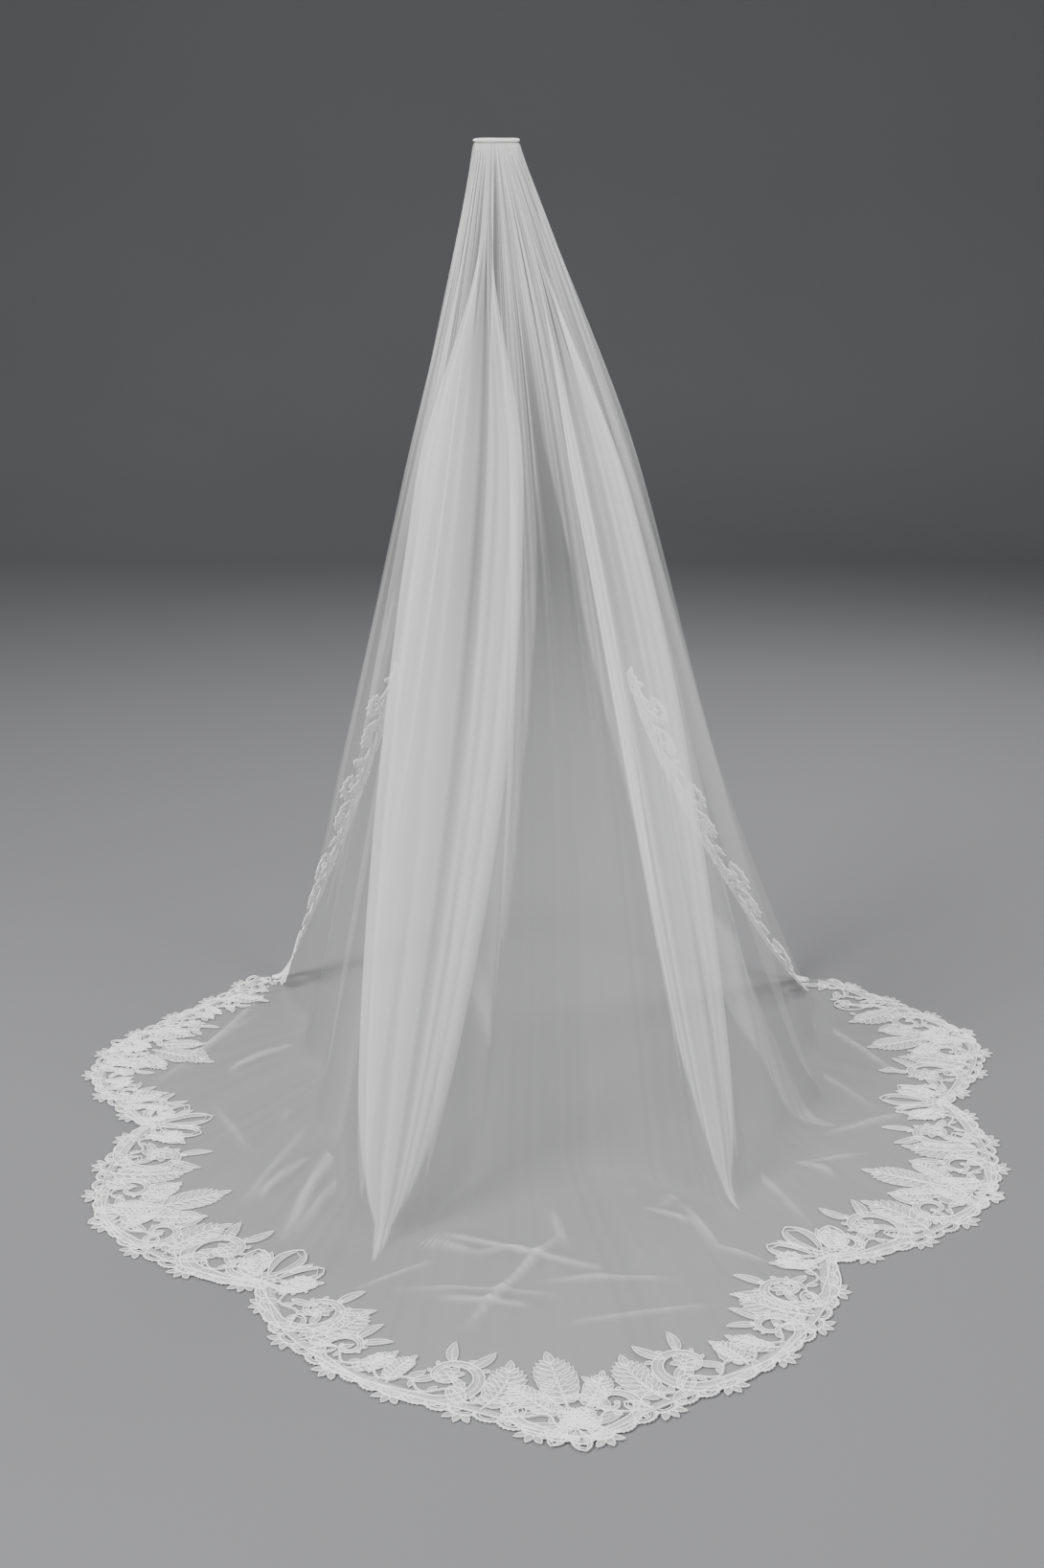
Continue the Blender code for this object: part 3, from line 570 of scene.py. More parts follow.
solid_bearings = []
for begin, end, count in COLUMNS:
    solid_bearings += [begin + (end - begin) * i / count for i in range(count)]
solid_bearings = np.array(solid_bearings + [COLUMNS[-1][1]])
SOLID_LAST = len(solid_bearings) - 1


def hanging_sheet(places, t):
    """The hanging sheet with gathers and folds. places counts solid columns, with fractions."""
    solid = plain_sheet(solid_bearings, np.arange(SOLID_LAST + 1) / SOLID_LAST, t)
    before = np.maximum(np.arange(SOLID_LAST + 1) - 1, 0)
    after = np.minimum(np.arange(SOLID_LAST + 1) + 1, SOLID_LAST)
    along = solid[:, after] - solid[:, before]
    side = np.stack((along[:, :, 1], -along[:, :, 0]), -1)
    side /= np.linalg.norm(side, axis=2, keepdims=True) + 1e-9
    gaps = np.linalg.norm(np.diff(solid, axis=1), axis=2)
    step = np.stack([gaps[:, max(i - 3, 0):min(i + 3, SOLID_LAST)].min(1)
                     for i in range(SOLID_LAST + 1)], 1)
    quiet = np.ones_like(step)
    for centre, spread, _half_width, _depth, starts, ends in FLUTES:
        held = np.maximum(0.0, 1.0 - 4.0 * swell(t, starts, ends))[:, None]
        quiet *= np.where(np.abs(solid_bearings - centre) < 1.7 * spread, held, 1.0)
    bearing = np.interp(places, np.arange(SOLID_LAST + 1), solid_bearings)
    sheet = plain_sheet(bearing, places / SOLID_LAST, t)
    low = np.minimum(places.astype(int), SOLID_LAST - 1)
    part = places - low

    def between(values):
        if values.ndim == 3:
            return values[:, low] * (1.0 - part)[:, None] + values[:, low + 1] * part[:, None]
        return values[:, low] * (1.0 - part) + values[:, low + 1] * part

    side = between(side)
    step = between(step)
    quiet = between(quiet)
    fade = (1.0 - ease(t / GATHER_FADE))[:, None]
    wave = np.cos(2.0 * np.pi * places / GATHER_COLUMNS)
    size = wave * quiet * fade * GATHER_SHARE * GATHER_COLUMNS * step
    for pitch, share, ends, phase, drift in PLEATS:
        reach = ends * (0.8 + 0.2 * np.sin(0.9 * places + phase))
        wander = phase + 1.3 * np.sin(0.37 * places + phase)
        small = np.cos(2.0 * np.pi * places / pitch + wander + drift * t[:, None])
        size = size + small * share * step * (1.0 - ease(t[:, None] / reach)) * (0.35 + 0.65 * quiet)
    for above, below, starts, ends, rise, half_width in FOLDS:
        centre = above + (below - above) * ease((t[:, None] - starts) / (ends - starts))
        inside = np.exp(-((bearing - centre) / half_width) ** 2)
        size = size + rise * inside * swell(t[:, None], starts, ends) * (0.3 + 0.7 * quiet)
    sheet[:, :, :2] += side * size[:, :, None]
    return sheet, bearing


def hem_distance(x, y):
    spots = np.stack((x.ravel(), y.ravel()), -1)
    return np.sqrt(((spots[:, None] - HEM[None, ::2]) ** 2).sum(2).min(1)).reshape(x.shape)


def segment_distance(x, y, a, b):
    along = b - a
    k = np.clip(((x - a[0]) * along[0] + (y - a[1]) * along[1]) / (along @ along), 0.0, 1.0)
    return np.hypot(x - a[0] - along[0] * k, y - a[1] - along[1] * k), k


def train_lift(x, y):
    """How far the train stands off the floor, and how marked its crests are."""
    clear = ease((hem_distance(x, y) - LACE_BAND) / 0.04)
    lift = np.zeros_like(x)
    crest = np.zeros_like(x)
    for b0, r0, b1, r1, height, width in RIDGES:
        a = np.array((math.cos(math.radians(b0)), math.sin(math.radians(b0)))) * r0
        b = np.array((math.cos(math.radians(b1)), math.sin(math.radians(b1)))) * r1
        away, k = segment_distance(x, y, a, b)
        lift += height * np.exp(-(away / width) ** 2) * clear
        crest += np.exp(-(away / (0.28 * width)) ** 2) * np.sin(np.pi * (0.08 + 0.84 * k)) ** 0.5 * clear
    for x0, y0, x1, y1, height, width in WRINKLES:
        away, k = segment_distance(x, y, np.array((x0, y0)), np.array((x1, y1)))
        lift += height * np.exp(-(away / width) ** 2) * np.sin(np.pi * np.clip(k, 0.02, 0.98)) ** 0.5
        crest += 100.0 * height * np.exp(-(away / (0.75 * width)) ** 2) * np.sin(np.pi * np.clip(k, 0.02, 0.98)) ** 0.5
    slow = np.sin(7.1 * x + 2.3 * y) * np.sin(5.3 * y - 3.1 * x + 0.7) + np.sin(13.7 * x - 9.1 * y + 1.9)
    lift += (0.0016 + 0.0012 * slow) * (0.35 + 0.65 * clear)
    return np.maximum(lift, 0.0), crest


def grid_mesh(name, grid, flip=False):
    """A mesh of quads on a grid of points."""
    rows, wide = grid.shape[:2]
    mesh = bpy.data.meshes.new(name)
    number = np.arange(rows * wide).reshape(rows, wide)
    corners = [number[:-1, :-1], number[1:, :-1], number[1:, 1:], number[:-1, 1:]]
    if flip:
        corners = corners[::-1]
    quads = np.stack(corners, -1).reshape(-1, 4)
    mesh.vertices.add(rows * wide)
    mesh.vertices.foreach_set("co", grid.astype(np.float32).ravel())
    mesh.loops.add(quads.size)
    mesh.loops.foreach_set("vertex_index", quads.ravel().astype(np.int32))
    mesh.polygons.add(len(quads))
    mesh.polygons.foreach_set("loop_start", np.arange(0, quads.size, 4, dtype=np.int32))
    mesh.polygons.foreach_set("use_smooth", np.ones(len(quads), bool))
    mesh.update(calc_edges=True)
    return mesh, quads


places = np.linspace(0.0, SOLID_LAST, SHEET_COLUMNS + 1)
hang_t = TRAIN_START * np.linspace(0.0, 1.0, HANG_ROWS + 1) ** 1.12
hanging, sheet_bearings = hanging_sheet(places, hang_t)
hanging[0, :, 2] = -0.5 * BAND_HEIGHT - SEAM - 0.5 * WALL
hanging[:, :, 2] = np.maximum(hanging[:, :, 2], FLOOR + 0.5 * WALL)
foot = hanging[-1, :, :2]
angle = np.radians(sheet_bearings)
end = np.stack((np.cos(angle), np.sin(angle)), -1)
end *= (np.interp(sheet_bearings, HEM_BEARINGS, HEM_RADII) - TULLE_INSET)[:, None]
share = np.linspace(0.0, 1.0, TRAIN_ROWS + 1)[1:, None, None]
train = foot[None] * (1.0 - share) + end[None] * share
lift, crest = train_lift(train[:, :, 0], train[:, :, 1])
lift = lift * ease(share[:, :, 0] * 4.0)
train = np.concatenate((train, (FLOOR + 0.5 * WALL + lift)[:, :, None]), 2)
sheet = np.concatenate((hanging, train), 0)
crest = np.concatenate((np.zeros(hanging.shape[:2]), crest), 0)

tulle_mesh, quads = grid_mesh("tulle", sheet)
rows, wide = sheet.shape[:2]

# How much thread lies over each spot: more where the cut is drawn together, on the sides of a
# fold, where cloth lies folded on itself and on creases, in streaks that follow the pleats.
right = np.gradient(sheet, axis=1)
down = np.gradient(sheet, axis=0)
normal = np.cross(down, right)
normal /= np.linalg.norm(normal, axis=2, keepdims=True) + 1e-12
window = np.ones(2 * SMOOTHING + 1) / (2 * SMOOTHING + 1)
padded = np.pad(normal, ((0, 0), (SMOOTHING, SMOOTHING), (0, 0)), mode="edge")
broad = np.stack([np.stack([np.convolve(row[:, k], window, "valid") for k in range(3)], -1)
                  for row in padded])
broad /= np.linalg.norm(broad, axis=2, keepdims=True) + 1e-12
facing = np.abs((normal * broad).sum(2))
on_train = TRAIN_START + (2.0 - TRAIN_START) * np.linspace(0.0, 1.0, TRAIN_ROWS + 1)[1:]
down_share = np.concatenate((hang_t, on_train))[:, None]
drawn = (CUT_WIDTH / SHEET_COLUMNS) / (np.linalg.norm(right, axis=2) + 1e-6)
drawn = 1.0 + (np.clip(drawn, 1.0, None) - 1.0) * (1.0 - ease((down_share - 0.55) / 0.42))
bundle = ease((drawn - 1.2) / 4.0)
chance = np.random.default_rng(STREAK_SEED)
cut_share = places / SOLID_LAST
streak = np.zeros(drawn.shape)
for count in STREAK_COUNTS:
    phase, drift, size = chance.uniform((0.0, -0.6, 0.5), (6.28, 0.6, 1.0))
    streak += size * np.cos(2.0 * np.pi * count * cut_share + phase + drift * down_share * 3.0)
streak /= 0.1 * len(STREAK_COUNTS)
folded = np.zeros(drawn.shape)
held = np.zeros(drawn.shape)
for (centre, spread, _half_width, _depth, starts, _ends), tip in zip(FLUTES, FLUTE_TIPS):
    inside = np.abs((sheet_bearings - centre) / spread)
    narrow = 0.52 * np.clip((tip - down_share) / 0.16, 0.0, 1.0) ** 0.7
    strength = ease((down_share - starts) / 0.30) * (down_share < tip)
    folded = np.maximum(folded, FLUTE_LAYERS * ease((narrow - inside) / 0.08 + 0.5) * strength)
    held = np.maximum(held, ease((1.25 - inside) / 0.25) * strength)
for extra, panel_rows in PANELS:
    heights, lefts, rights = np.array(panel_rows).T
    left_edge = np.interp(down_share[:, 0], heights, lefts)[:, None]
    right_edge = np.interp(down_share[:, 0], heights, rights)[:, None]
    within = (down_share > heights[0]) & (down_share < heights[-1])
    soft = 0.35 / np.maximum(down_share, 0.15)
    inside = ease((sheet_bearings - left_edge) / soft + 0.5)
    inside = inside * ease((right_edge - sheet_bearings) / soft + 0.5)
    folded = np.maximum(folded, extra * inside * within * ease((down_share - heights[0]) / 0.12))
layers = np.clip(drawn, 1.0, 9.0) ** 0.8 / np.clip(facing, 0.45, 1.0)
layers = layers * (1.0 - held) + np.minimum(layers, 1.1) * held + folded + CREST_LAYERS * crest
open_side = ease((np.abs(sheet_bearings - 272.0) - 26.0) / 10.0) * ease((down_share - 0.20) / 0.25)
layers *= 1.0 - 0.40 * open_side * (down_share < 1.0)
layers *= 1.0 + streak * (0.10 + 0.62 * bundle + 0.14 * ease(folded))
cover = 1.0 - (1.0 - NET_COVER) ** np.clip(layers, FEWEST_LAYERS, MOST_LAYERS)
layer = tulle_mesh.attributes.new("cover", "FLOAT", "POINT")
layer.data.foreach_set("value", cover.astype(np.float32).ravel())
lengths = np.concatenate((np.zeros((1, wide)), np.linalg.norm(np.diff(sheet, axis=0), axis=2)), 0).cumsum(0)
cut = np.stack((np.broadcast_to(places / SOLID_LAST * CUT_WIDTH, (rows, wide)), lengths), -1).reshape(-1, 2)
uv = tulle_mesh.uv_layers.new(name="cut")
uv.data.foreach_set("uv", cut[quads.ravel()].astype(np.float32).ravel())
tulle = bpy.data.objects.new("tulle", tulle_mesh)
bpy.context.scene.collection.objects.link(tulle)

net = Finish("bridal_tulle", Roughness=0.55, Sheen_Weight=0.35, Sheen_Roughness=0.4, Specular_IOR_Level=0.0)
u, v, _w = net.split(net.cloth("cut"))
one = 1.0 - abs(((u + v) * (math.pi / NET_PITCH)).sine())
two = 1.0 - abs(((u - v) * (math.pi / NET_PITCH)).sine())
holes = one * one + two * two
thread = net.attribute("cover") * (0.62 + 0.85 * holes)
net.feed(Base_Color=net.blend(holes, *TULLE_COLOURS), Roughness=0.62 - 0.12 * holes, Alpha=thread.clamped())
tulle_mesh.materials.append(net.material)
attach(tulle, "root")
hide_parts("tulle_left", "tulle_left_flute", "tulle_middle", "tulle_right_flute", "tulle_right",
            "tulle_train")


# ---- Lace ------------------------------------------------------------------------------------
# Corded bridal lace sewn flat on the tulle: close clothwork shapes, each edged and veined with a
# raised cord. The border follows the scalloped hem and climbs both free side edges, with
# scrolls, plumes, leaves and small flowers from a lobed outer edge inward.

CORD_RADIUS = 0.0014
BORDER_MIDDLE = 0.10
CLOTHWORK_RISE = 0.0009
LOBE_PITCH = 0.036
HEM_LOBE_DEPTH = 0.017
SIDE_LOBE_DEPTH = 0.013
BELOW_COMB = np.array((0.10, -0.55))
CELL_PITCH = 0.290
BORDER_CELL = (
    # kind, along, inward, size, angle, turn
    ("scroll", 0.088, 0.072, 0.060, -105.0, 1.0),
    ("flower", 0.086, 0.076, 0.017, 20.0, 1.0),
    ("scroll", 0.210, 0.056, 0.042, -75.0, -1.0),
    ("frond", 0.152, 0.020, 0.104, 86.0, 1.0),
    ("frond", 0.022, 0.024, 0.064, 100.0, -1.0),
    ("frond", 0.250, 0.022, 0.066, 62.0, 1.0),
    ("leaf", 0.078, 0.100, 0.046, 116.0, -1.0),
    ("leaf", 0.103, 0.094, 0.050, 66.0, 1.0),
    ("leaf", 0.204, 0.076, 0.046, 96.0, -1.0),
    ("leaf", 0.222, 0.072, 0.040, 52.0, -1.0),
    ("loop", 0.128, 0.018, 0.044, 128.0, 1.0),
    ("loop", 0.178, 0.018, 0.036, 52.0, 1.0),
    ("flower", 0.268, 0.060, 0.013, 10.0, 1.0),
    ("leaf", 0.046, 0.044, 0.040, 44.0, 1.0),
    ("leaf", 0.118, 0.050, 0.036, 140.0, 1.0),
)
MIDDLE_CREST = (
    ("frond", 0.0, 0.084, 0.132, 90.0, 0.0),
    ("frond", 0.022, 0.078, 0.090, 58.0, 0.4),
    ("frond", -0.022, 0.078, 0.090, 122.0, -0.4),
    ("leaf", 0.018, 0.046, 0.056, 12.0, 0.9),
    ("leaf", -0.018, 0.046, 0.056, 168.0, -0.9),
    ("flower", 0.0, 0.052, 0.019, 0.0, 1.0),
    ("loop", 0.0, 0.034, 0.050, 270.0, 0.0),
    ("loop", 0.013, 0.038, 0.044, 312.0, 0.0),
    ("loop", -0.013, 0.038, 0.044, 228.0, 0.0),
)
NOTCH_CREST = (
    ("loop", 0.0, 0.036, 0.094, 90.0, 0.0),
    ("loop", 0.014, 0.030, 0.084, 52.0, 0.6),
    ("loop", -0.014, 0.030, 0.084, 128.0, -0.6),
    ("scroll", 0.052, 0.046, 0.030, -105.0, 1.0),
    ("scroll", -0.052, 0.046, 0.030, -75.0, -1.0),
    ("flower", 0.0, 0.028, 0.020, 0.0, 1.0),
    ("leaf", 0.020, 0.062, 0.044, 62.0, 0.5),
    ("leaf", -0.020, 0.062, 0.044, 118.0, -0.5),
)


def turned(angle):
    return np.array((math.cos(math.radians(angle)), math.sin(math.radians(angle))))


def rails(path, widths):
    """The two sides of a band along a path."""
    along = np.gradient(path, axis=0)
    along /= np.linalg.norm(along, axis=1, keepdims=True) + 1e-12
    side = np.stack((-along[:, 1], along[:, 0]), -1) * (0.5 * widths)[:, None]
    return path + side, path - side


class Lace:
    """Gathers clothwork bands and cords in flat measures: x along the edge, y inward."""

    def __init__(self):
        self.bands = []
        self.cords = []
        self.edge = []

    def band(self, path, widths):
        self.bands.append(rails(path, widths))

    def cord(self, path, radius=1.0, taper=0.0, loop=False):
        k = np.linspace(0.0, 1.0, len(path))
        self.cords.append((path, radius * (1.0 - taper * k), loop))

    def course(self, base, length, headings):
        """A path that leaves a point along the given headings, in degrees."""
        turns = np.radians(headings)
        steps = np.stack((np.cos(turns), np.sin(turns)), -1) * (length / (len(turns) - 1))
        return base + np.concatenate((np.zeros((1, 2)), steps[:-1])).cumsum(0)

    def leaf(self, base, length, angle, bend, width=0.30, steps=8, vein=0.7):
        k = np.linspace(0.0, 1.0, steps)
        path = self.course(base, length, angle + bend * 30.0 * (k - 0.3))
        widths = length * width * np.sin(np.pi * k ** 0.8) ** 0.8 + 0.0006
        left, right = rails(path, widths)
        self.bands.append((left, right))
        self.cord(np.concatenate((left, right[-2:0:-1])), 0.62, loop=True)
        if vein:
            self.cord(path[:-1], vein, 0.5)

    def loop(self, base, length, angle, bend):
        """A drop-shaped loop, open in the middle."""
        k = np.linspace(0.0, 1.0, 11)
        path = self.course(base, length, angle + bend * 26.0 * (k - 0.3))
        outer = rails(path, length * 0.52 * np.sin(np.pi * k ** 1.35) ** 0.7 + 0.0006)
        inner = rails(path[1:-1], length * 0.24 * np.sin(np.pi * k[1:-1] ** 1.35) ** 0.7 + 0.0006)
        for far, near in zip(outer, inner):
            self.bands.append((far[1:-1], near))
        self.cord(np.concatenate((outer[0], outer[1][-2:0:-1])), 0.95, loop=True)
        self.cord(np.concatenate((inner[0], inner[1][-2:0:-1])), 0.6, loop=True)

    def scroll(self, centre, radius, start, turn):
        """A broad band that runs in along the edge and curls up on itself, frilled on its back."""
        k = np.linspace(0.0, 1.0, 26)
        angles = np.radians(start + turn * 440.0 * k)
        reach = radius * np.exp(-1.75 * k)
        curl = centre + np.stack((np.cos(angles), np.sin(angles)), -1) * reach[:, None]
        m = np.linspace(0.0, 1.0, 10)[:-1, None]
        begin = curl[0] + np.array((-turn * 1.45 * radius, 0.10 * radius))
        hook = (curl[1] - curl[0]) / np.linalg.norm(curl[1] - curl[0])
        first = begin + np.array((turn * 0.5 * radius, -0.05 * radius))
        second = curl[0] - hook * (0.5 * radius)
        tail = begin * (1 - m) ** 3 + first * 3 * m * (1 - m) ** 2
        tail = tail + second * 3 * m * m * (1 - m) + curl[0] * m ** 3
        path = np.concatenate((tail, curl))
        widths = np.concatenate((0.10 * radius + 0.25 * radius * ease(m[:, 0]), 0.003 + 0.30 * reach))
        left, right = rails(path, widths)
        self.bands.append((left, right))
        self.cord(left, 1.15, 0.35)
        self.cord(right, 1.15, 0.35)
        self.cord(path[2:-4], 0.6, 0.4)
        outer = right if turn > 0.0 else left
        for i in range(11, 27, 2):
            away = outer[i] - centre
            facing = math.degrees(math.atan2(away[1], away[0]))
            self.leaf(outer[i], radius * (0.33 - 0.008 * i), facing - turn * 28.0, -turn, 0.55, 5, 0.0)
        self.bead(path[-1], 0.0036)

    def frond(self, base, length, angle, bend):
        """A feathered leaf: a cord spine with small leaflets in pairs and one at the tip."""
        k = np.linspace(0.0, 1.0, 9)
        headings = angle + bend * 34.0 * (k - 0.3)
        path = self.course(base, length * 0.84, headings)
        self.band(path, 0.0065 * (1.0 - 0.75 * k) + 0.0012)
        self.cord(path, 1.1, 0.5)
        for i in range(1, 9):
            size = length * 0.34 * math.sin(math.pi * (0.14 + 0.74 * i / 8.0)) ** 0.8
            for side in (1.0, -1.0):
                self.leaf(path[i], size, headings[i] + side * 46.0, -side * 0.9, 0.40, 5, 0.0)
        self.leaf(path[-1], 0.26 * length, headings[-1], 0.0, 0.40, 6, 0.6)

    def flower(self, centre, radius, angle, _turn):
        for i in range(6):
            heading = angle + 60.0 * i
            self.leaf(centre + turned(heading) * (0.2 * radius), 0.85 * radius, heading, 0.0, 0.66, 6, 0.0)
        self.bead(centre, 0.22 * radius + 0.001)

    def bead(self, centre, radius):
        angles = np.linspace(0.0, 2.0 * np.pi, 9)[:-1]
        ring = centre + np.stack((np.cos(angles), np.sin(angles)), -1) * radius
        self.bands.append((ring[[0, 1, 2, 3, 4]], ring[[0, 7, 6, 5, 4]]))
        self.cord(ring, 0.9, loop=True)

    def lobes(self, length, depth):
        """The outer edge: a net band, a cord along it, and small drop loops that stand out from it."""
        count = max(2, round(length / LOBE_PITCH))
        pitch = length / count
        roots = np.linspace(0.0, length, 3 * count + 1)
        self.band(np.stack((roots, np.full_like(roots, depth * 1.3)), -1), np.full_like(roots, 0.85 * depth))
        self.cord(np.stack((roots, np.full_like(roots, depth * 0.95)), -1), 1.0)
        angles = np.radians(np.linspace(196.0, 344.0, 9))
        for i in range(count):
            grown = 1.0 if i % 3 else 1.14
            centre = np.array((pitch * (i + 0.5), depth * 0.92))
            rim = np.stack((np.cos(angles) * pitch * 0.55, np.sin(angles) * depth * 0.80 * grown), -1)
            self.cord(centre + rim, 0.95)
            self.edge.append(centre + rim)
            self.band(centre + 0.80 * rim, np.full(9, 0.0040))
            self.cord(centre + 0.58 * rim, 0.55)
            if i % 3 == 1:
                for heading in (226.0, 270.0, 314.0):
                    tip = centre + np.array((0.25 * pitch * math.cos(math.radians(heading)), -0.72 * depth))
                    self.leaf(tip, 1.15 * depth, heading, 0.0, 0.50, 5, 0.0)
        # A vine that waves along just inside the edge, with a leaf at each turn.
        along = np.linspace(0.0, length, 4 * count + 1)
        vine = np.stack((along, depth * (2.5 + 0.65 * np.sin(np.pi * along / pitch))), -1)
        self.band(vine, np.full(len(vine), 0.0065))
        self.cord(vine, 1.0)
        for i in range(count):
            up = 1.0 if i % 2 == 0 else -1.0
            self.leaf(vine[4 * i + 2], 0.026 + 0.006 * (i % 3), 90.0 * up - 34.0, 0.6 * up, 0.46, 5, 0.0)
            self.leaf(vine[4 * i + 3], 0.018, -70.0 * up, 0.0, 0.50, 5, 0.0)

    def motif(self, kind, spot, size, angle, turn):
        getattr(self, kind)(spot, size, angle, turn)


def placed(lace, place):
    """Moves flat bands and cords onto the cloth. place gives points and the way out of it."""
    verts = []
    faces = []
    for left, right in lace.bands:
        middle = 0.5 * (left + right)
        count = len(left)
        first = len(verts)
        spots, out = place(np.concatenate((left, middle, right)))
        wide = np.linalg.norm(left - right, axis=1)
        rise = CLOTHWORK_RISE * np.clip(wide / 0.006, 0.25, 1.0)
        lifted = np.concatenate((np.full(count, 0.0002), rise, np.full(count, 0.0002)))
        verts += list(spots + out * lifted[:, None])
        verts += list((spots - out * 0.0001)[:count]) + list((spots - out * 0.0001)[2 * count:])
        a, b, c, d, e = (first + count * i for i in range(5))
        for i in range(count - 1):
            faces.append((a + i, b + i, b + i + 1, a + i + 1))
            faces.append((b + i, c + i, c + i + 1, b + i + 1))
            faces.append((c + i, e + i, e + i + 1, c + i + 1))
            faces.append((e + i, d + i, d + i + 1, e + i + 1))
            faces.append((d + i, a + i, a + i + 1, d + i + 1))
        last = count - 1
        faces.append((a, d, e, c, b))
        faces.append((a + last, b + last, c + last, e + last, d + last))
    cords = []
    radii = []
    for path, radius, loop in lace.cords:
        spots, out = place(path)
        cords.append((spots + out * (0.0006 + 0.4 * CORD_RADIUS * radius)[:, None], loop))
        radii.append(radius)
    return verts, faces, cords, radii


def clothwork_object(name, verts, faces, material):
    mesh = bpy.data.meshes.new(name)
    mesh.from_pydata([tuple(v) for v in verts], [], faces)
    work = bmesh.new()
    work.from_mesh(mesh)
    bmesh.ops.recalc_face_normals(work, faces=work.faces[:])
    for face in work.faces:
        face.smooth = True
    work.to_mesh(mesh)
    work.free()
    mesh.materials.append(material)
    obj = bpy.data.objects.new(name, mesh)
    bpy.context.scene.collection.objects.link(obj)
    return obj


def edge_walk(points):
    """Running length of the hem, and its place, course and inward side at a length."""
    lengths = np.concatenate(((0.0,), np.linalg.norm(np.diff(points, axis=0), axis=1))).cumsum()

    def at(s):
        s = min(max(s, 0.0), lengths[-1])
        i = min(int(np.searchsorted(lengths, s, side="right")) - 1, len(points) - 2)
        k = (s - lengths[i]) / (lengths[i + 1] - lengths[i])
        along = points[min(i + 2, len(points) - 1)] - points[max(i - 1, 0)]
        along = along / np.linalg.norm(along)
        return points[i] * (1.0 - k) + points[i + 1] * k, along, np.array((-along[1], along[0]))

    return float(lengths[-1]), at


def on_floor(flat):
    """The top of the train at a flat place, and the way up."""
    lifted, _crest = train_lift(flat[:, 0], flat[:, 1])
    spots = np.concatenate((flat, (FLOOR + WALL + SEAM + lifted)[:, None]), 1)
    return spots, np.broadcast_to(np.array((0.0, 0.0, 1.0)), spots.shape)


def clear_of_foot(flat):
    bearing = np.degrees(np.arctan2(flat[:, 1], flat[:, 0])) % 360.0
    if bearing.min() < RAYS[0, 0] + 0.3 or bearing.max() > RAYS[-1, 0] - 0.3:
        return False
    at = np.interp(bearing, sheet_bearings, np.hypot(foot[:, 0], foot[:, 1]))
    return bool((np.hypot(flat[:, 0], flat[:, 1]) > at + 0.004).all())


def picot_rig(name, material):
    """Small thread loops, evenly spaced along lines."""
    rig = Rig(name)
    rig.size("Spacing")
    rig.size("Loop Radius")
    rig.size("Thread Radius")
    lines = rig.node("GeometryNodeMeshToCurve", None, {"Mesh": rig.open()})
    points = rig.node("GeometryNodeCurveToPoints", {"mode": "LENGTH"},
                      {"Curve": lines, "Length": rig.given("Spacing")})
    ring = rig.node("GeometryNodeCurvePrimitiveCircle", {"mode": "RADIUS"},
                    {"Resolution": 7, "Radius": rig.given("Loop Radius")})
    section = rig.node("GeometryNodeCurvePrimitiveCircle", {"mode": "RADIUS"}, {"Resolution": 4, "Radius": 1.0})
    picot = rig.node("GeometryNodeCurveToMesh", None,
                     {"Curve": ring, "Profile Curve": section, "Scale": rig.given("Thread Radius")})
    turns = points.node.outputs["Rotation"]
    tipped = rig.node("FunctionNodeRotateRotation", {"rotation_space": "LOCAL"},
                      {0: turns, 1: (math.radians(90.0), 0.0, 0.0)})
    placed_picots = rig.node("GeometryNodeInstanceOnPoints", None,
                             {"Points": points, "Instance": picot, "Rotation": tipped})
    rig.close(placed_picots, material)
    return rig


border = Lace()
for index in range(len(SCALLOPS)):
    points = HEM[HEM_STARTS[index]:HEM_STARTS[index + 1] + 1]
    length, at = edge_walk(points)

    def add(motifs, spot, along, inward, mirror, grow):
        """Draws motifs in the frame of one spot of the hem and keeps them with the border."""
        for kind, a, b, size, heading, turn in motifs:
            own = Lace()
            own.motif(kind, np.array((a, b)), size * grow, heading, turn)

            def turn_over(flat):
                return spot + np.outer(flat[:, 0] * mirror, along) + np.outer(flat[:, 1], inward)

            bands = [(turn_over(p), turn_over(q)) for p, q in own.bands]
            cords = [(turn_over(p), r, loop) for p, r, loop in own.cords]
            border.bands.extend(band for band in bands if clear_of_foot(np.concatenate(band)))
            border.cords.extend(cord for cord in cords if clear_of_foot(cord[0]))

    lobes = Lace()
    lobes.lobes(length, HEM_LOBE_DEPTH)

    def along_hem(flat):
        out = []
        for x, y in flat:
            spot, _along, inward = at(x)
            out.append(spot + inward * y)
        return np.array(out)

    border.bands.extend((along_hem(p), along_hem(q)) for p, q in lobes.bands)
    border.edge.extend(along_hem(p) for p in lobes.edge)
    border.cords.extend((along_hem(p), r, loop) for p, r, loop in lobes.cords)
    cells = max(1, round(0.5 * length / CELL_PITCH))
    scale = 0.5 * length / (cells * CELL_PITCH)
    grow = min(max(scale, 0.85), 1.25)
    for cell in range(cells):
        for mirror in (1.0, -1.0):
            for kind, a, b, size, heading, turn in BORDER_CELL:
                s = (cell + a / CELL_PITCH) * CELL_PITCH * scale
                spot, along, inward = at(s if mirror > 0.0 else length - s)
                motif = (kind, 0.0, 0.006 + (b - 0.006) * grow, size, heading, turn)
                add([motif], spot, along, inward, mirror, grow)
    spot, along, inward = at(0.5 * length)
    add(MIDDLE_CREST, spot, along, inward, 1.0, 1.0)
    if index > 0:
        spot = points[0]
        inward = BELOW_COMB - spot
        inward /= np.linalg.norm(inward)
        add(NOTCH_CREST, spot, np.array((inward[1], -inward[0])), inward, 1.0, 1.0)

LACE_COLOURS = ((0.74, 0.74, 0.73), (0.88, 0.88, 0.87))
CLOTHWORK_PITCH = 0.0011


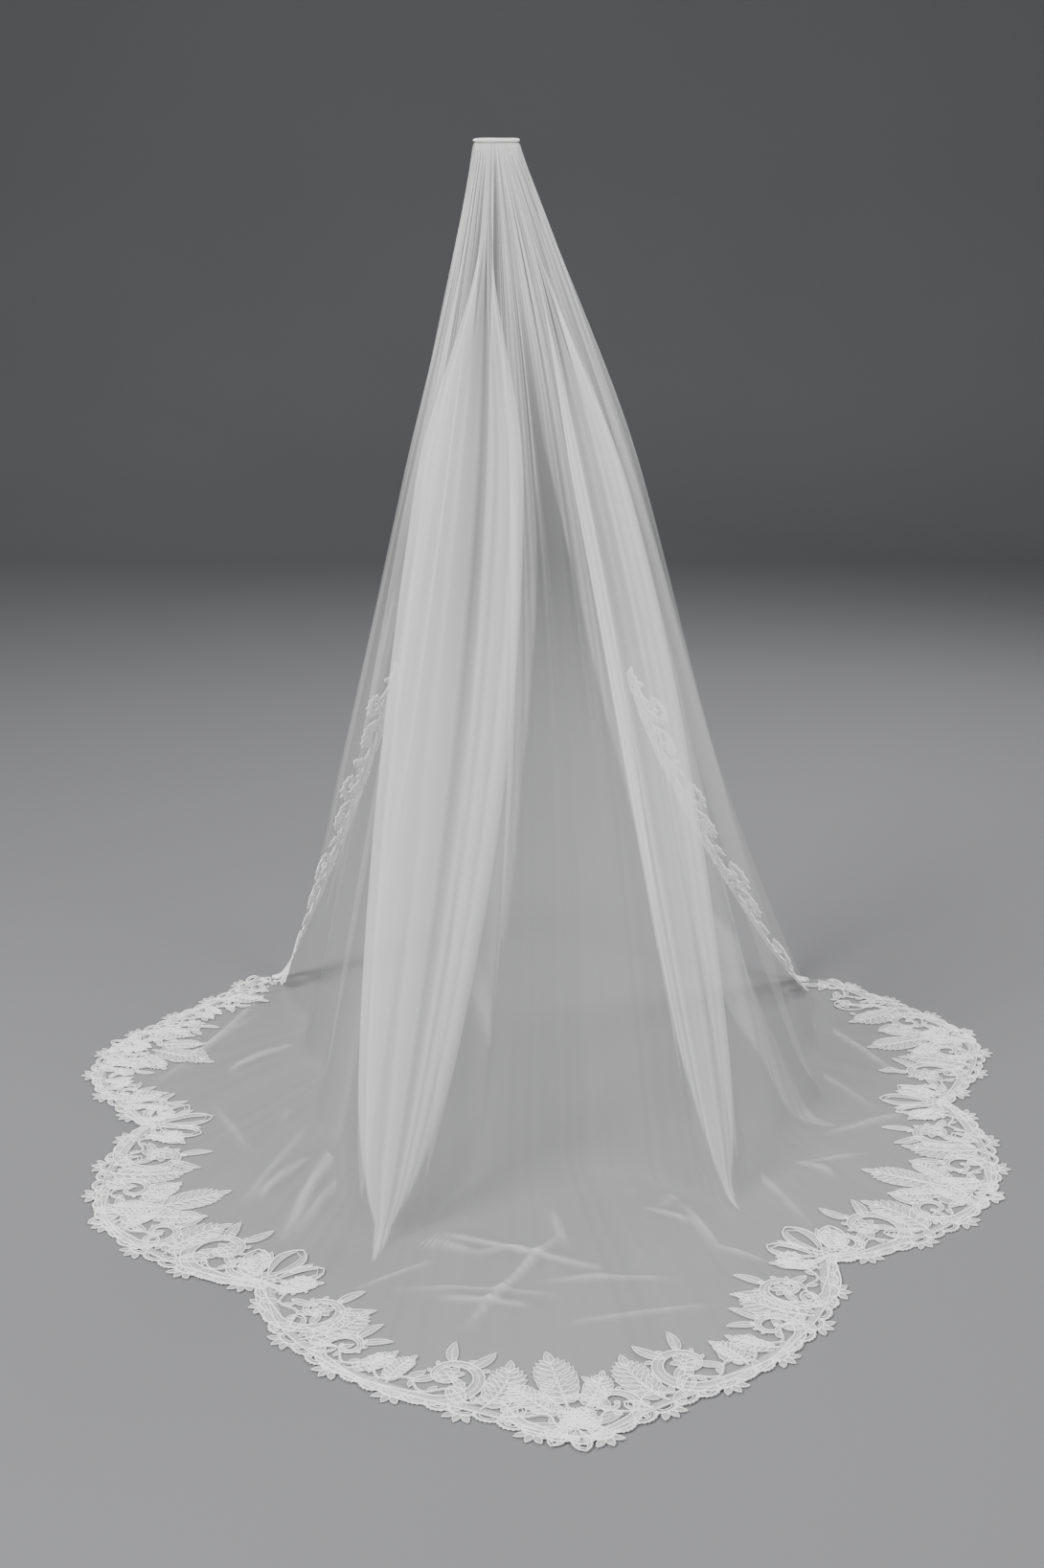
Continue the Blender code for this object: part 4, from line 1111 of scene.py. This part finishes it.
def close_work(name, thin, thick, colours):
    """Close threadwork, between thin and thick as the light comes through it."""
    finish = Finish(name, Roughness=0.7, Sheen_Weight=0.25)
    x, y, z = finish.split(finish.place())
    over = (x * (math.pi / CLOTHWORK_PITCH)).sine() * ((y + z) * (math.pi / CLOTHWORK_PITCH)).sine()
    uneven = finish.cloud(finish.place(), 160.0, 2.0)
    weave = over * 0.35 + uneven
    finish.feed(Base_Color=finish.blend(weave, *colours),
                Roughness=0.62 + 0.2 * uneven,
                Alpha=(thin + (thick - thin) * weave).clamped(),
                Normal=finish.bump(weave, 0.5, 0.0006))
    return finish


clothwork = close_work("lace_clothwork", 0.16, 0.56, LACE_COLOURS)
cording = Finish("lace_cord", Roughness=0.6, Sheen_Weight=0.35)
x, y, z = cording.split(cording.place())
ply = ((x + y * 0.7 + z) * 2600.0).sine() * 0.5 + 0.5
cording.feed(Base_Color=cording.blend(ply, (0.93, 0.93, 0.92), (1.0, 1.0, 0.99)),
             Normal=cording.bump(ply, 0.4, 0.0004))

PICOT_SPACING = 0.0062
PICOT_RADIUS = 0.0023
PICOT_THREAD = 0.00055
verts, faces, cords, radii = placed(border, on_floor)
hem_clothwork = clothwork_object("hem_clothwork", verts, faces, clothwork.material)
cords_of = cord_rig("lace_cording", cording.material)
hem_cords = []
for name, wanted in (("hem_cords_left", True), ("hem_cords_right", False)):
    own = [i for i, (path, _loop) in enumerate(cords) if (path[:, 0].mean() < BORDER_MIDDLE) == wanted]
    lines = line_mesh(name, [cords[i] for i in own], [radii[i] for i in own])
    hem_cords.append(cords_of.run(name, lines, Thickness=CORD_RADIUS, Sides=5))
edge_lines = [(on_floor(line)[0] + np.array((0.0, 0.0, 0.0008)), False) for line in border.edge]
picots_of = picot_rig("hem_picots", cording.material)
hem_picots = picots_of.run("hem_picots", line_mesh("hem_picots", edge_lines),
                           **{"Spacing": PICOT_SPACING, "Loop Radius": PICOT_RADIUS, "Thread Radius": PICOT_THREAD})
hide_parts("lace_hem")
for piece in (hem_clothwork, hem_picots, *hem_cords):
    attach(piece, "root")


# ---- Lace up the side edges ------------------------------------------------------------------
# The same lace, cut as two narrow strips and sewn on the outer face of the sheet beside each
# free edge. Each strip is laid out flat by lengths measured on the cloth, so it hangs with it.

SIDE_LACES = (
    # name, node, first column, length, width
    ("left", "lace_left", True, 0.73, 0.105),
    ("right", "lace_right", False, 0.78, 0.120),
)
SIDE_CELL = (
    # kind, along, inward, size, angle, turn
    ("scroll", 0.072, 0.058, 0.052, -105.0, 1.0),
    ("scroll", 0.206, 0.074, 0.050, -75.0, -1.0),
    ("flower", 0.072, 0.060, 0.016, 20.0, 1.0),
    ("leaf", 0.134, 0.030, 0.056, 104.0, -1.0),
    ("loop", 0.160, 0.018, 0.046, 62.0, 1.0),
    ("leaf", 0.262, 0.020, 0.052, 84.0, 1.0),
    ("flower", 0.276, 0.052, 0.014, 10.0, 1.0),
)
SIDE_CELLS = 4
SIDE_CORD_RADIUS = 0.0020
# Painted highlight: the side strips' clothwork is coloured lighter than the same lace on the hem, to make up for the
# shade of the tulle in front of it.
side_clothwork_painted_bright = close_work("side_lace_clothwork_painted_bright", 0.30, 0.78, ((0.86, 0.86, 0.85), (0.97, 0.97, 0.96)))
for name, node, edge_first, length, width in SIDE_LACES:
    strip = hanging if edge_first else hanging[:, ::-1]
    strip = strip[::-1]
    rises = np.linalg.norm(np.diff(strip[:, 0], axis=0), axis=1)
    upward = np.concatenate(((0.0,), rises)).cumsum()
    steps = np.linalg.norm(np.diff(strip, axis=1), axis=2)
    inward = np.concatenate((np.zeros((len(strip), 1)), steps), 1).cumsum(1)
    across_strip = np.gradient(strip, axis=1)
    up_strip = np.gradient(strip, axis=0)
    outward_strip = np.cross(across_strip, up_strip) * (1.0 if edge_first else -1.0)
    outward_strip /= np.linalg.norm(outward_strip, axis=2, keepdims=True)

    def on_side(flat):
        spots = []
        outs = []
        for x, y in flat:
            row = np.interp(x + 0.004, upward, np.arange(len(upward)))
            j = min(int(row), len(strip) - 2)
            k = row - j
            found = []
            for line, weight in ((j, 1.0 - k), (j + 1, k)):
                column = np.interp(y + 0.002, inward[line], np.arange(strip.shape[1]))
                i = min(int(column), strip.shape[1] - 2)
                m = column - i
                spot = strip[line, i] * (1.0 - m) + strip[line, i + 1] * m
                out = outward_strip[line, i] * (1.0 - m) + outward_strip[line, i + 1] * m
                found.append((spot * weight, out * weight))
            spots.append(found[0][0] + found[1][0])
            outs.append(found[0][1] + found[1][1])
        outs = np.array(outs)
        outs /= np.linalg.norm(outs, axis=1, keepdims=True)
        return np.array(spots) + outs * (0.5 * WALL + SEAM), outs

    lace = Lace()
    lace.lobes(length, SIDE_LOBE_DEPTH)
    for cell in range(SIDE_CELLS):
        scale = width / 0.105 * (1.0 - 0.10 * cell)
        for kind, a, b, size, heading, turn in SIDE_CELL:
            spot = np.array(((cell + a / CELL_PITCH) / SIDE_CELLS * length, 0.006 + (b - 0.006) * scale))
            if spot[0] < length * 0.97:
                lace.motif(kind, spot, size * scale, heading, turn)
    lace.leaf(np.array((length * 0.985, 0.006)), 0.050, 20.0, 1.0)
    verts, faces, cords, radii = placed(lace, on_side)
    cloth = clothwork_object(name + "_edge_clothwork", verts, faces, side_clothwork_painted_bright.material)
    cord = cords_of.run(name + "_edge_cords", line_mesh(name + "_cords", cords, radii),
                        Thickness=SIDE_CORD_RADIUS, Sides=5)
    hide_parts(node)
    for piece in (cloth, cord):
        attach(piece, "root")


# ---- Floor, light and camera -----------------------------------------------------------------
# A plain pale floor that sweeps up behind the veil, large soft lights, and the camera low
# behind the wearer, looking along the train.

SWEEP_COLOURS = ((0.172, 0.172, 0.176), (0.186, 0.186, 0.191))
SWEEP = ((-16.0, FLOOR), (6.2, FLOOR), (7.2, FLOOR + 0.25), (7.9, FLOOR + 0.9), (8.3, FLOOR + 2.0), (8.5, FLOOR + 9.0))
verts = []
for y, z in SWEEP:
    verts += [(-14.0, y, z), (14.0, y, z)]
mesh = bpy.data.meshes.new("floor")
mesh.from_pydata(verts, [], [(2 * i, 2 * i + 1, 2 * i + 3, 2 * i + 2) for i in range(len(SWEEP) - 1)])
for face in mesh.polygons:
    face.use_smooth = True
floor = bpy.data.objects.new("floor", mesh)
bpy.context.scene.collection.objects.link(floor)
paper = Finish("studio_floor", Roughness=0.9)
paper.feed(Base_Color=paper.blend(paper.cloud(paper.place(), 0.8), *SWEEP_COLOURS))
mesh.materials.append(paper.material)

world = bpy.data.worlds.new("studio")
world.use_nodes = True
world.node_tree.nodes["Background"].inputs["Color"].default_value = (0.75, 0.77, 0.80, 1.0)
world.node_tree.nodes["Background"].inputs["Strength"].default_value = 0.35
bpy.context.scene.world = world

LIGHTS = (
    # name, x, y, z, size, watts
    ("key", -3.2, -3.0, 2.4, 2.5, 400.0),
    ("fill", 3.4, -3.6, 1.6, 3.0, 170.0),
    ("back", 1.6, 2.4, 2.2, 1.8, 160.0),
)
for name, x, y, z, size, watts in LIGHTS:
    data = bpy.data.lights.new(name, "AREA")
    data.shape = "DISK"
    data.size = size
    data.energy = watts
    lamp = bpy.data.objects.new(name, data)
    lamp.location = (x, y, z)
    lamp.visible_camera = False
    lamp.rotation_euler = (Vector((0.05, -0.6, -0.9)) - Vector((x, y, z))).to_track_quat("-Z", "Y").to_euler()
    bpy.context.scene.collection.objects.link(lamp)

view = bpy.data.cameras.new("camera")
view.sensor_width = 36.0
view.lens = 43.98
camera = bpy.data.objects.new("camera", view)
camera.location = (0.051, -4.0, -0.25)
camera.rotation_euler = (math.radians(75.0), 0.0, 0.0)
bpy.context.scene.collection.objects.link(camera)
bpy.context.scene.camera = camera
